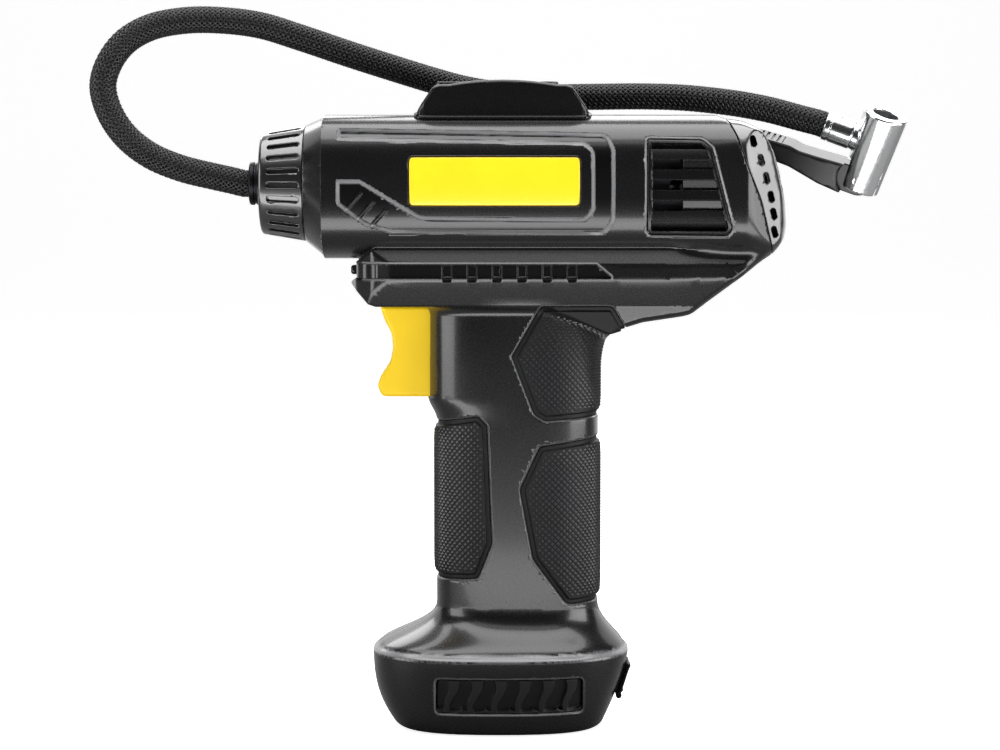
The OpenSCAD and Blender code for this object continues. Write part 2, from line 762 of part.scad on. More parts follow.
module chuck_body() {
    r = chuck_d / 2;
    seat = chuck_l - valve_bore_depth;
    color("#d5d7da") place_chuck() difference() {
        union() {
            cylinder(r1 = r - chuck_taper, r2 = r, h = chuck_l);
            translate([0, 0, ferrule_z]) rod_x(hose_d / 2 + 0.1, -r - 0.5, 0);
        }
        // valve mouth, with a wider chamber for the seal and a plenum below it
        translate([0, 0, seat]) cylinder(r = valve_bore_d / 2, h = far);
        translate([0, 0, seat - seal_l - fit]) cylinder(r = valve_bore_d / 2 + 1, h = seal_l + fit + eps);
        translate([0, 0, ferrule_z - 1.5]) cylinder(r = 3, h = seat - seal_l - fit - ferrule_z + 1.5 + eps);
        // air passage from the hose
        translate([0, 0, ferrule_z]) rod_x(1.2, -r - 1, 0);
        // slot for the lever's cam
        box([-far / 4, -lever_tongue / 2 - slide_gap, -1],
            [far / 4, lever_tongue / 2 + slide_gap, lever_pivot.z + 5.6]);
        translate(lever_pivot) rod_y(lever_pin_r, -r - 1, r + 1);
    }
}

module chuck_seal() {
    color("#101010") place_chuck()
        translate([0, 0, chuck_l - valve_bore_depth - seal_l - fit / 2]) difference() {
            cylinder(r = valve_bore_d / 2 + 1 - fit, h = seal_l);
            translate([0, 0, -1]) cylinder(r = 2.4, h = seal_l + 2);
        }
}

module hose_ferrule() {
    color("#d5d7da") place_chuck() translate([0, 0, ferrule_z]) difference() {
        rod_x(hose_d / 2 + 0.35, -chuck_d / 2 - ferrule_l - 0.5, -chuck_d / 2 - 0.52);
        rod_x(1.2, -chuck_d / 2 - ferrule_l - 2, 0);
    }
}

// Thumb lever: a broad handle along the hose, and a narrow cam inside the chuck's slot
module chuck_lever() {
    color("#18181a") place_chuck() difference() {
        union() {
            across(-lever_w / 2, lever_w / 2) difference() {
                polygon([[-5.2, -2.2], [-5.2, 7], [-7.9, 7], [-15.4, 6.4], [-21.3, 6.1], [-24.3, 6.7],
                    [-36, 5.9], [-37.4, 4.6], [-37.4, 2], [-36, 0.8], [-29.9, 0.3], [-22.7, 0.2],
                    [-12.6, -1.7]]);
                translate([lever_pivot.x, lever_pivot.z]) circle(6.45);
            }
            across(-lever_tongue / 2, lever_tongue / 2) {
                translate([lever_pivot.x, lever_pivot.z]) circle(5.3);
                translate([-8.5, -1.7]) square([7.3, 8.7]);
            }
        }
        translate(lever_pivot) rod_y(lever_pin_r + running_gap, -far / 4, far / 4);
    }
}

module lever_pin() {
    half = chuck_d / 2 - chuck_taper - 0.2;
    color("#c9ccd0") place_chuck() translate(lever_pivot) rod_y(lever_pin_r, -half, half);
}

// ---------------------------------------------------------------- display
display_x = 0.5;
display_top = barrel_top + display_h;
display_plate = 2.2;
display_crown = 1.4;
display_under = display_top - display_plate - display_crown; // flat height below the crowned plate
switch_top = display_under - 0.3 - 1.5 - button_travel - 0.1; // top of the tact switches
window_x = -5;
button_x = 14;
button_pitch = 8;

// Side view of the display housing, crowned along its top
module display_outline(inset = 0) {
    half = display_l / 2 - inset;
    crown = display_crown;
    r = 6 - inset / 2;
    rise = display_h - inset;
    base = barrel_top;
    polygon(concat(
        [[-half, base - 8], [-half, base], [-half + 2.6, base + rise - crown - r + 1]],
        [for (t = [155:-15:95]) [-half + 3 + r + r * cos(t), base + rise - crown - r + r * sin(t)]],
        [for (t = [-1:0.2:1]) [t * (half - 10), base + rise - crown * t * t]],
        [for (t = [85:-15:25]) [half - 3 - r + r * cos(t), base + rise - crown - r + r * sin(t)]],
        [[half - 2.6, base + rise - crown - r + 1], [half, base], [half, base - 8]]));
}

module display_plan(inset = 0) {
    translate([display_x, 0]) round_rect([display_l - 2 * inset, display_w - 2 * inset], 5 - inset);
}

// The barrel's straight stretch as one prism, which the display housing sits on
module barrel_prism(grow) {
    along(-barrel_front + 1, barrel_rear - 25)
        polygon([for (k = [0:fine - 1]) [0, barrel_z] + squircle(barrel_w / 2 + grow,
            barrel_h / 2 + grow, barrel_curve, k, fine)]);
}

module display_housing() {
    color("#2a2a2c") difference() {
        intersection() {
            translate([display_x, 0, 0]) across(-display_w / 2, display_w / 2) display_outline();
            linear_extrude(2 * far) display_plan();
        }
        intersection() {
            translate([display_x, 0, 0]) across(-display_w / 2, display_w / 2) display_outline(display_plate);
            linear_extrude(2 * far) display_plan(2);
        }
        barrel_prism(0.02);
        translate([window_x, 0, display_top - 1.7]) linear_extrude(9) round_rect([28 + 2 * fit, 26 + 2 * fit], 2);
        translate([window_x, 0, display_top - 9]) linear_extrude(9) round_rect([24, 21], 1);
        for (k = [-1.5:1.5]) translate([button_x, k * button_pitch, display_top - 9])
            cylinder(r = button_d / 2 + slide_gap, h = 20);
    }
}

module display_window() {
    color("#0c0f14") translate([window_x, 0, display_top - 1.7]) linear_extrude(1.2) round_rect([28, 26], 1.8);
}

module display_board() {
    z = switch_top - 2.3;
    color("#1c5a34") union() {
        box([-18, -13, z], [19.5, 13, z + 1.2]);
        for (k = [-1.5:1.5]) box([button_x - 2, k * button_pitch - 2, z + 1.1],
            [button_x + 2, k * button_pitch + 2, switch_top]);
    }
}

module lcd_module() {
    color("#30363c") box([window_x - 11.5, -11.5, switch_top - 1.1],
        [window_x + 11.5, 11.5, display_under - 0.4]);
}

module push_button(slot) {
    top = display_top - 0.45;
    under = display_under - 0.3;
    color("#3a3a3d") translate([button_x, (slot - 1.5) * button_pitch, 0]) union() {
        translate([0, 0, under - 0.01]) cylinder(r = button_d / 2, h = top - under);
        translate([0, 0, under - 0.9]) cylinder(r = button_d / 2 + 0.6, h = 0.9);
        translate([0, 0, under - 1.5]) cylinder(r = 1.2, h = 0.7);
    }
}

module mode_button() push_button(0);
module minus_button() push_button(1);
module plus_button() push_button(2);
module light_button() push_button(3);

// ---------------------------------------------------------------- trigger
trigger_top = guard_z - slide_gap;
trigger_bottom = guard_z - 27.6;
trigger_back = -14;
trigger_front = -36.1;
plunger_r = 2.4;

module trigger() {
    z = (switch_z0 + switch_z1) / 2;
    color("gold") union() {
        across(-trigger_w / 2, trigger_w / 2) difference() {
            translate([trigger_front, trigger_bottom]) square([trigger_back - trigger_front, trigger_top - trigger_bottom]);
            translate([-48.1, guard_z - 14.4]) circle(16.9);
            translate([trigger_front - eps, trigger_bottom - eps]) difference() {
                square(1.8);
                translate([1.8, 1.8]) circle(1.8);
            }
            translate([trigger_front - eps, trigger_top - 2.5]) square([2, 3]);
        }
        translate([0, 0, z]) rod_x(plunger_r, trigger_back - 1, switch_x0 + 3);
    }
}

module trigger_switch() {
    z = (switch_z0 + switch_z1) / 2;
    color("#2b2b30") difference() {
        box([switch_x0, -switch_half, switch_z0], [switch_x1, switch_half, switch_z1]);
        translate([0, 0, z]) rod_x(plunger_r + slide_gap, switch_x0 - 1, switch_x0 + 3 + trigger_travel + 1);
    }
}

// Compression spring between the trigger and the switch, wound round the plunger
module trigger_spring() {
    turns = 5;
    wire = 0.35;
    r = plunger_r + slide_gap + wire + 0.05;
    x0 = trigger_back + wire + 0.05;
    x1 = switch_x0 - wire - 0.05;
    z = (switch_z0 + switch_z1) / 2;
    steps = turns * 10;
    coil = [for (k = [0:steps]) let (t = 360 * k / 10)
        [x0 + (x1 - x0) * k / steps, r * cos(t), z + r * sin(t)]];
    gap = min([for (k = [0:steps - 10]) norm(coil[k + 10] - coil[k])]) - 2 * wire;
    echo(trigger_spring_least_gap = gap);
    color("silver") tube(coil, wire, 6);
}

// ---------------------------------------------------------------- lamp
module led_lens() {
    z = (rail_top + rail_bottom) / 2;
    color("#e8e8e8") union() {
        box([block_nose + 1, -5, z - 1.4], [block_nose + 6, 5, z + 1.4]);
        translate([block_nose + 1, 0, z]) intersection() {
            rotate([90, 0, 0]) cylinder(r = 1.4, h = 10, center = true);
            box([-3, -5, -2], [0.01, 5, 2]);
        }
    }
}

module led_board() {
    z = (rail_top + rail_bottom) / 2;
    color("#1c5a34") box([block_nose + 6.1, -6, z - 2.3], [block_nose + 7.3, 6, z + 2.3]);
}

// ---------------------------------------------------------------- pump
motor_x = 53.5;
motor_z = barrel_z;
motor_y0 = 21 - side_y;
motor_y1 = side_y - motor_tail;
centre_distance = gear_module * (gear_teeth + pinion_teeth) / 2;
gear_x = motor_x - centre_distance;
frame_y0 = 5 - side_y;
frame_y1 = frame_y0 + 2;
gear_y0 = frame_y1 + 1.6;
gear_y1 = gear_y0 + 3.8;
axle_r = 1.5;
shaft_r = 1;
rod_y0 = gear_y1 + 2;
rod_y1 = rod_y0 + 3.4;
pump_y = (rod_y0 + rod_y1) / 2;
crank_r = stroke / 2;
crown_x = -4;
cylinder_x0 = crown_x - 0.8;
cylinder_x1 = crown_x + stroke + 7;
cylinder_wall = 2;
head_l = 8;

// Involute of a circle with radius base at a roll of t degrees
function involute(base, t) =
    base * [cos(t) + t * PI / 180 * sin(t), sin(t) - t * PI / 180 * cos(t)];

module gear_outline(teeth, add = 1, backlash = 0.1) {
    pitch_r = gear_module * teeth / 2;
    base = pitch_r * cos(20);
    tip = pitch_r + add * gear_module;
    root = pitch_r - 1.25 * gear_module;
    roll = function(r) sqrt(max(0, pow(r / base, 2) - 1)) * 180 / PI;
    skew = roll(pitch_r) - 20;
    half = 90 / teeth - backlash / pitch_r * 90 / PI + skew;
    start = max(base, root);
    flank = [for (f = [0:0.25:1]) let (p = involute(base, roll(start + (tip - start) * f)),
        a = atan2(p.y, p.x) - half, r = norm(p)) [r, a]];
    tooth = concat([[root, flank[0][1]]], flank, [for (k = [4:-1:0]) [flank[k][0], -flank[k][1]]],
        [[root, -flank[0][1]]]);
    polygon([for (k = [0:teeth - 1]) for (p = tooth)
        p[0] * [cos(p[1] + 360 * k / teeth), sin(p[1] + 360 * k / teeth)]]);
}

module motor_can() {
    color("#b8babd") translate([motor_x, 0, motor_z]) difference() {
        union() {
            rod_y(motor_d / 2, motor_y0, motor_y1);
            rod_y(4, motor_y0 - 1.2, motor_y0 + 1);
        }
        rod_y(shaft_r + 1.2, motor_y0 - 2, motor_y0 + 6);
        rod_y(motor_d / 2 - 1.2, motor_y0 + 1.2, motor_y1 + 1);
    }
}

module motor_end_cap() {
    color("#2d2d2d") translate([motor_x, 0, motor_z]) difference() {
        union() {
            rod_y(motor_d / 2, motor_y1 + 0.02, motor_y1 + 2);
            rod_y(motor_d / 2 - 1.2 - fit, motor_y1 - 2, motor_y1 + 0.1);
        }
        rod_y(shaft_r + running_gap, motor_y1 - 3, motor_y1 + 3);
    }
}

module rotor_shaft() {
    color("#8d9094") translate([motor_x, 0, motor_z]) {
        rod_y(shaft_r, gear_y0 - 0.6, motor_y1 + 5.6);
        rod_y(motor_d / 2 - 2.4, motor_y0 + 4, motor_y1 - 4);
    }
}

module pinion() {
    color("#c2a14a") translate([motor_x, 0, motor_z]) rotate([-90, 0, 0])
        translate([0, 0, gear_y0 - 0.3]) linear_extrude(gear_y1 - gear_y0 + 0.6) difference() {
            rotate(180 / pinion_teeth + 180) gear_outline(pinion_teeth);
            circle(shaft_r + 0.01);
        }
}

module cooling_fan() {
    y0 = motor_y1 + 2.3;
    color("#3b3b40") translate([motor_x, 0, motor_z]) difference() {
        union() {
            rod_y(4, y0, y0 + 3);
            for (k = [0:fan_blades - 1]) rotate([0, 360 * k / fan_blades, 0])
                translate([0, y0 + 1.5, fan_d / 4 + 1.4]) rotate([0, 0, 35])
                    cube([4, 0.8, fan_d / 2 - 2.8], center = true);
        }
        rod_y(shaft_r + 0.01, y0 - 1, y0 + 4);
    }
}

// Cast frame: a plate for the crank axle, a plate for the motor and a wall for the cylinder
module pump_frame() {
    front = cylinder_x1;
    plate = 2;
    half_z = 9;
    wall_z = bore_d / 2 + cylinder_wall + 1.2;
    color("#9a9da1") difference() {
        union() {
            box([front, frame_y0, motor_z - half_z], [motor_x + 11, frame_y1, motor_z + half_z]);
            box([front - plate, frame_y0, motor_z - wall_z], [front, pump_y + 12.3, motor_z + wall_z]);
            for (side = [-1, 1]) translate([0, 0, motor_z + side * 11])
                box([front - plate, motor_y0 - 1.8, -0.8], [motor_x, motor_y0 - 0.2, 0.8]);
            translate([motor_x, 0, motor_z]) rod_y(13, motor_y0 - 1.8, motor_y0 - 0.2);
        }
        translate([0, pump_y, motor_z]) rod_x(bore_d / 2 + cylinder_wall + fit / 2, front - plate - 1, front + 1);
        translate([motor_x, 0, motor_z]) rod_y(4 + fit, -far / 4, 0);
        translate([gear_x, 0, motor_z]) rod_y(axle_r + 0.01, -far / 4, 0);
        translate([motor_x, 0, motor_z]) for (side = [-1, 1])
            translate([0, 0, side * 8]) rod_y(1.1, -far / 4, 0);
    }
}

module pump_screws() {
    color("silver") translate([motor_x, 0, motor_z]) for (side = [-1, 1])
        translate([0, 0, side * 8]) union() {
            rod_y(1, motor_y0 - 2, motor_y0 - 0.1);
            rod_y(1.9, motor_y0 - 3.4, motor_y0 - 1.82);
        }
}

module crank_gear() {
    color("#d9d4c4") translate([gear_x, 0, motor_z]) difference() {
        union() {
            rotate([-90, 0, 0]) translate([0, 0, gear_y0]) linear_extrude(gear_y1 - gear_y0)
                gear_outline(gear_teeth);
            rod_y(4, frame_y1 + 0.3, gear_y0 + 1);
            translate([-crank_r, 0, 0]) rod_y(1.5, gear_y0 + 1, rod_y0 - 0.3);
            translate([-crank_r, 0, 0]) rod_y(2.6, gear_y0 + 1, rod_y0 - 0.8);
        }
        rod_y(axle_r + running_gap, frame_y1 - 1, gear_y1 - 0.8);
    }
}

module crank_axle() {
    color("#8d9094") translate([gear_x, 0, motor_z]) rod_y(axle_r, frame_y0 + 0.1, gear_y1 - 1);
}

module connecting_rod() {
    pin_x = gear_x - crank_r;
    color("#6d7175") translate([0, pump_y, motor_z]) difference() {
        union() {
            rod_x(bore_d / 2 - 0.5, crown_x, crown_x + 1.2);
            rod_x(bore_d / 2 - 0.5, crown_x + 2.2, crown_x + 3.4);
            rod_x(bore_d / 2 - 1.6, crown_x + 1, crown_x + 2.4);
            box([crown_x + 3, rod_y0 - pump_y, -2.2], [pin_x - 2, rod_y1 - pump_y, 2.2]);
            translate([pin_x, 0, 0]) rod_y(4, rod_y0 - pump_y, rod_y1 - pump_y);
        }
        translate([pin_x, 0, 0]) rod_y(1.6, -far / 4, far / 4);
    }
}

module piston_seal() {
    color("#18181a") translate([0, pump_y, motor_z]) difference() {
        rod_x(bore_d / 2 - running_gap, crown_x + 1.22, crown_x + 2.18);
        rod_x(bore_d / 2 - 1.55, crown_x, crown_x + 4);
    }
}

module cylinder_barrel() {
    color("#a9adb2") translate([0, pump_y, motor_z]) difference() {
        rod_x(bore_d / 2 + cylinder_wall, cylinder_x0, cylinder_x1);
        rod_x(bore_d / 2, cylinder_x0 - 1, cylinder_x1 + 1);
    }
}

module cylinder_head() {
    x1 = cylinder_x0 - 0.02;
    color("#7e8286") translate([0, pump_y, motor_z]) difference() {
        union() {
            rod_x(bore_d / 2 + cylinder_wall, x1 - head_l, x1);
            rod_x(1.9, x1 - head_l - 6, x1 - head_l + 1);
        }
        rod_x(1, x1 - head_l - 7, x1 + 1);
        rod_x(bore_d / 2 - 2, x1 - 1.5, x1 + 1);
        for (k = [1:3]) translate([x1 - 1.6 - 1.8 * k, 0, 0]) rotate([0, 90, 0]) difference() {
            cylinder(r = bore_d, h = 0.8);
            translate([0, 0, -1]) cylinder(r = bore_d / 2, h = 3);
        }
    }
}

module air_tube() {
    x0 = gland_rear + 0.02;
    x1 = cylinder_x0 - head_l - 6.04;
    color("#c9c9c2") tube(concat([[x0, 0, nose_z], [x0 + 1.5, 0, nose_z]],
        [for (t = [0.12:0.12:0.9]) [x0 + (x1 - x0) * t, pump_y * ease(t),
            nose_z + (motor_z - nose_z) * ease(t)]],
        [[x1 - 1.5, pump_y, motor_z], [x1, pump_y, motor_z]]), 2.6, 12);
}

module main_board() {
    z0 = barrel_bottom + 8;
    z1 = barrel_top - 6;
    color("#1c5a34") union() {
        box([-39, board_y, z0], [28, board_y + board_t, z1]);
        box([-30, board_y + board_t - 0.1, z0 + 6], [-18, board_y + board_t + 1.4, z0 + 18]);
        box([-10, board_y + board_t - 0.1, z0 + 8], [4, board_y + board_t + 5, z0 + 16]);
        translate([14, 0, z0 + 16]) rod_y(4, board_y + board_t - 0.1, board_y + board_t + 9);
    }
}

// ---------------------------------------------------------------- battery
module battery_cells() {
    color("#2f6fb0") for (side = [-1, 1])
        translate([cell_x + side * (cell_d / 2 + 0.1), 0, cell_bottom]) union() {
            cylinder(r = cell_d / 2, h = cell_l - 1);
            cylinder(r = 3, h = cell_l);
        }
}

module cell_tabs() {
    half = cell_d + 0.1 - 4;
    color("#c9ccd0") {
        box([cell_x - half, -4, cell_bottom - 0.32], [cell_x + half, 4, cell_bottom - 0.02]);
        for (side = [-1, 1]) translate([cell_x + side * (cell_d / 2 + 0.1), 0, cell_bottom + cell_l + 0.02])
            box([-4, -4, 0], [4, 4, 0.3]);
    }
}

module battery_holder() {
    half = cell_d - 0.6;
    top = cell_bottom + cell_l + 0.5;
    color("#37373a") union() {
        box([cell_x - half, holder_y, cell_bottom - 2], [cell_x + half, holder_y + 1.6, top + 1.6]);
        box([cell_x - half, -4, cell_bottom - 2], [cell_x + half, holder_y + 0.1, cell_bottom - 0.5]);
        box([cell_x - half, -4, top], [cell_x + half, holder_y + 0.1, top + 1.6]);
    }
}

// ---------------------------------------------------------------- foot
module charge_board() {
    color("#1c5a34") union() {
        half = base_spot.y - 3.6;
        box([-22, -half, charge_board_z], [base_x1 - 9.8, half, charge_board_z + 1.2]);
        box([-12, 3.4 - half, charge_board_z + 1.1], [-2, half - 3.4, charge_board_z + 3]);
        box([4, 1.4 - half, charge_board_z + 1.1], [12, half - 1.4, charge_board_z + 4]);
    }
}

module charge_port() {
    depth = 7.5;
    x1 = base_x1 - 4;
    color("#c9ccd0") translate([x1 - depth, 0, port_z]) rotate([0, 90, 0]) rotate([0, 0, 90]) difference() {
        linear_extrude(depth) round_rect([9.2, 3.6], 1.6);
        translate([0, 0, 1]) linear_extrude(depth) round_rect([8.4, 2.8], 1.2);
        translate([0, 0, -1]) linear_extrude(1.5) round_rect([7, 1], 0.3);
    }
}

// Rubber flap over the charging socket, hinged along its lower edge
flap_pin_r = 0.9;
flap_z = port_z - 1.9 - fit - flap_pin_r;
flap_hinge = [grip_x1(flap_z) + flap_pin_r + slide_gap, 0, flap_z];
flap_lean = 18;
flap_l = 10.1;

module charge_flap() {
    color("#1b1b1d") translate(flap_hinge) rotate([0, flap_lean, 0]) union() {
        rod_y(flap_pin_r, -7, 7);
        box([-0.6, -7, 0], [0.5, 7, flap_l]);
        box([0.4, -2.5, flap_l - 2.2], [1.1, 2.5, flap_l - 0.6]);
    }
}

module cover_plan(gap = 0) {
    polygon([for (k = [0:47]) squircle(base_l / 2 - 11 + gap, base_w / 2 - 9.5 + gap, grip_curve, k, 48)]);
}

module base_cover() {
    color("#1f1f22") difference() {
        linear_extrude(cover_t) cover_plan();
        for (spot = base_screw_spots) translate([spot.x, spot.y, -1]) {
            cylinder(r = screw_d / 2 + fit / 2, h = 9);
            cylinder(r = screw_head_d / 2 + fit, h = 2.2);
        }
    }
}

module base_screws() {
    color("silver") for (spot = base_screw_spots) translate([spot.x, spot.y, 0]) union() {
        translate([0, 0, 0.3]) cylinder(r = screw_head_d / 2, h = 0.9 - 0.02);
        translate([0, 0, 1]) cylinder(r = screw_d / 2, h = 9);
    }
}

module foot_body(grow) {
    grip_body(grow, fine, concat([0], foot_levels));
}

// Ribbed insert behind each window in the foot
module base_insert() {
    difference() {
        intersection() {
            across(-far / 2, -8) base_window_outline(-fit / 2);
            union() {
                foot_body(-1.7);
                intersection() {
                    foot_body(-0.5);
                    across() for (k = [0:5]) translate([-15 + 7 * k, base_h / 2 + 0.5])
                        polygon([[-2.4, -5], [-1.6, -2], [-0.8, 1], [-0.4, 5], [2.4, 5], [1.8, 1],
                            [1, -2], [0, -5]]);
                }
            }
        }
        foot_body(-wall - 1);
    }
    difference() {
        intersection() {
            across(-far / 2, -8) base_window_outline(1);
            grip_body(-wall - fit, coarse, hollow_levels);
        }
        grip_body(-wall - 1, coarse, hollow_levels);
    }
}

module base_insert_left() {
    color("#17171a") base_insert();
}

module base_insert_right() {
    color("#17171a") right() base_insert();
}

// ---------------------------------------------------------------- rubber pads
module pad_bed(grow) {
    grip_body(grow, fine, grip_levels);
    block_body(grow);
}

module pad_between() {
    difference() {
        intersection() {
            pad_bed(pad_proud);
            across() children();
        }
        pad_bed(pad_proud - pad_t);
    }
}

module front_grip_pad() {
    color("#161617") pad_between() front_pad_outline();
}

module upper_grip_pad() {
    color("#161617") pad_between() upper_pad_outline();
}

module lower_grip_pad() {
    color("#161617") pad_between() lower_pad_outline();
}

housing_left();
housing_right();
side_panel_left();
side_panel_right();
vent_grille_left();
vent_grille_right();
rear_cap();
nose_collar();
hose_gland();
hose();
hose_ferrule();
chuck_body();
chuck_seal();
chuck_lever();
lever_pin();
display_housing();
display_window();
lcd_module();
display_board();
mode_button();
plus_button();
minus_button();
light_button();
trigger();
trigger_switch();
trigger_spring();
led_lens();
led_board();
main_board();
motor_can();
motor_end_cap();
rotor_shaft();
cooling_fan();
pinion();
pump_frame();
crank_gear();
crank_axle();
connecting_rod();
piston_seal();
cylinder_barrel();  // cylinder
cylinder_head();
air_tube();
battery_cells();
battery_holder();
cell_tabs();
charge_board();
charge_port();
charge_flap();
base_cover();
base_insert_left();
base_insert_right();
front_grip_pad();
upper_grip_pad();
lower_grip_pad();
housing_screws();
base_screws();
pump_screws();
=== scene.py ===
"""Shells, trim, hose and finishes of a cordless tire inflator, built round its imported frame."""

import json
import math
from concurrent.futures import ThreadPoolExecutor

import bmesh
import bpy
import numpy as np
import openvdb as vdb
from mathutils import Matrix, Vector


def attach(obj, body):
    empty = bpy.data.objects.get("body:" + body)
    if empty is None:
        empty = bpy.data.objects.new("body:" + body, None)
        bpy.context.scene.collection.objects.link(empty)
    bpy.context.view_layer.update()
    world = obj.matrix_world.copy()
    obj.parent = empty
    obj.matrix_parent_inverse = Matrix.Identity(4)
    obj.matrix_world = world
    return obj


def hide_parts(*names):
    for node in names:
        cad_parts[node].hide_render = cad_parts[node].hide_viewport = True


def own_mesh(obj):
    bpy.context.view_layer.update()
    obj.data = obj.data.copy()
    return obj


bl_info = {
    "name": "Tire inflator finish",
    "version": (1, 0, 0),
    "blender": (4, 5, 0),
    "location": "View3D > Sidebar > Inflator",
    "description": "Shells, trim, hose and finishes of a cordless tire inflator",
    "category": "Object",
}

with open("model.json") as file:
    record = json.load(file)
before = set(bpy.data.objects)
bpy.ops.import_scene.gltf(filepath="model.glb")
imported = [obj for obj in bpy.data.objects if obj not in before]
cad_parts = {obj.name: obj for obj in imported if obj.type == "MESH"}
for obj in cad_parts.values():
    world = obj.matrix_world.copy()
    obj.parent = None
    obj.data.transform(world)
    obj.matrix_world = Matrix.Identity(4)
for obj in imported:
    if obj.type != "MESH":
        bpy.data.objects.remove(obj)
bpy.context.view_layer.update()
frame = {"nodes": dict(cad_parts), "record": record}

# ------------------------------------------------------------------ sizes, in millimetres
MM = 0.001
BARREL_FRONT, BARREL_REAR = -52.6, 85.4
BARREL_BOTTOM, BARREL_TOP = 141.5, 184.5
BARREL_Z = (BARREL_BOTTOM + BARREL_TOP) / 2
BARREL_HALF, BARREL_CURVE, NECK_CURVE = 28.0, 3.2, 2.2
NECK_FRONT, NOSE_Z = BARREL_FRONT - 6, BARREL_Z + 1
COLLAR_R, COLLAR_L, COLLAR_SLOTS = 17.4, 13.3, 24
FACE_R, SPIGOT_R, GLAND_R = 12.6, 14.8, 6.5
COLLAR_FRONT = NECK_FRONT - 0.2 - COLLAR_L
GUARD_Z = 127.6
RAIL_TOP = BARREL_BOTTOM - 1.1
RAIL_BOTTOM = RAIL_TOP - 4.5
FACET_TOP = BARREL_BOTTOM + 3.9
BLOCK_NOSE, BLOCK_HALF = -45.0, 24.6
GRIP_FRONT, GRIP_REAR, GRIP_HALF, GRIP_CURVE = 19.5, 29.4, 19.0, 2.6
FINGER_STOP = 2.6
BASE_H, BASE_END, BASE_HALF = 24.0, 38.8, 29.0
FLARE_TOP, FOOT_MID = BASE_H + 14, BASE_H / 2 + 0.5
WALL = 2.4
CHANNEL_D = 1.3
GROOVE_FIRST, GROOVE_PITCH, GROOVES = -15.9, 7.35, 6
RIB_FIRST, RIB_PITCH, FOOT_RIBS = -15.0, 7.0, 6
PAD_T, PAD_PROUD, STUD_BORDER = 1.6, 0.5, 2.2
TRIGGER_HALF, PLUNGER_Z = 6.5, GUARD_Z - 15.5
PANEL_AT, PANEL_SIZE = (-1.9, BARREL_Z + 1.5), (49.8, 14.2)
PANEL_SEAT, PANEL_BACK, PANEL_FACE = 26.2, 26.35, 28.15
DISPLAY_X, DISPLAY_L, DISPLAY_W = 0.5, 52.0, 36.0
DISPLAY_TOP = BARREL_TOP + 10
KEYS = ("mode", "minus", "plus", "light")
BUTTON_X, BUTTON_PITCH, BUTTON_R = 14.0, 8.0, 3.0
FLAP_X, FLAP_Z, FLAP_LEAN = 35.68, 9.2, 18
HOSE_R = 4.2
SCREW_SPOTS = [(-44, 176.5), (-45, 150.5), (-29, 133.2), (60, 132.6), (20, 130.6), (2.6, 98.2),
               (-25, 13)]
SIDES = ((-1, "left"), (1, "right"))

# ------------------------------------------------------------------ shape arithmetic


def unit(t):
    return np.clip(t, 0, 1)


def ease(t):
    t = unit(t)
    return t * t * (3 - 2 * t)


def both(a, b, r=0.0):
    """Where both shapes are, with their shared edge rounded to r."""
    if r == 0:
        return np.maximum(a, b)
    return np.minimum(np.maximum(a, b), -r) + np.hypot(np.maximum(a + r, 0), np.maximum(b + r, 0))


def either(a, b, r=0.0):
    """Where either shape is, with a fillet of r between them."""
    return -both(-a, -b, r)


def less(a, b, r=0.0):
    """The first shape without the second."""
    return both(a, -b, r)


def bevelled(a, b, width):
    """The first shape without the second, with a flat bevel along their shared edge."""
    return np.maximum(np.maximum(a, -b), (a - b + width) * 0.7071)


def slab(v, low, high):
    return np.maximum(low - v, v - high)


def any_of(outlines, u, v):
    """Distance in a plane from the nearest of several outlines."""
    return np.minimum.reduce([outline(u, v) for outline in outlines])


def nearest(v, first, pitch, count):
    """The nearest place of an even row."""
    return first + pitch * np.clip(np.round((v - first) / pitch), 0, count - 1)


def turned(u, v, degrees):
    """A place in a plane, turned about the origin."""
    c, s = math.cos(math.radians(degrees)), math.sin(math.radians(degrees))
    return u * c - v * s, v * c + u * s


def doubled(points, axis):
    """Half an outline with its mirror image across one axis, which comes back to the start."""
    return points + [tuple(-v if k == axis else v for k, v in enumerate(p)) for p in points[::-1]]


def block(x, y, z, low, high, r=0.0):
    """Box between two corners with its edges rounded to r."""
    gaps = [slab(v, lo + r, hi - r) for v, lo, hi in zip((x, y, z), low, high)]
    outside = np.sqrt(sum(np.maximum(g, 0) ** 2 for g in gaps))
    return outside + np.minimum(np.maximum(np.maximum(gaps[0], gaps[1]), gaps[2]), 0) - r


def squircle(u, v, a, b, curve):
    """Distance in a section from a superellipse with half axes a and b."""
    u, v = np.abs(u) / a, np.abs(v) / b
    q = np.maximum((u ** curve + v ** curve), 1e-6) ** (1 / curve)
    slope = np.hypot((u / q) ** (curve - 1) / a, (v / q) ** (curve - 1) / b)
    return (q - 1) / np.maximum(slope, 1e-6)


def rounded(points, radius):
    """An outline with its corners turned into arcs of one radius, or of one for each corner."""
    points = [np.array(p, float) for p in points]
    radii = radius if hasattr(radius, "__len__") else [radius] * len(points)
    path = []
    for k, (corner, r) in enumerate(zip(points, radii)):
        a, b = points[k - 1] - corner, points[(k + 1) % len(points)] - corner
        la, lb = np.linalg.norm(a), np.linalg.norm(b)
        half = math.acos(np.clip(a @ b / (la * lb), -1, 1)) / 2
        if r == 0 or half > 1.55:
            path.append(corner)
            continue
        reach = min(r / math.tan(half), 0.49 * la, 0.49 * lb)
        start, end = corner + a / la * reach, corner + b / lb * reach
        chord = (start + end) / 2
        mid = chord + (corner - chord) * (1 - math.sin(half)) / math.cos(half) ** 2
        weight = np.linalg.norm(mid - chord) / max(np.linalg.norm(corner - mid), 1e-9)
        for t in np.linspace(0, 1, 6):
            w = 2 * t * (1 - t) * weight
            path.append((start * (1 - t) ** 2 + corner * w + end * t * t)
                        / ((1 - t) ** 2 + w + t * t))
    return np.array(path)


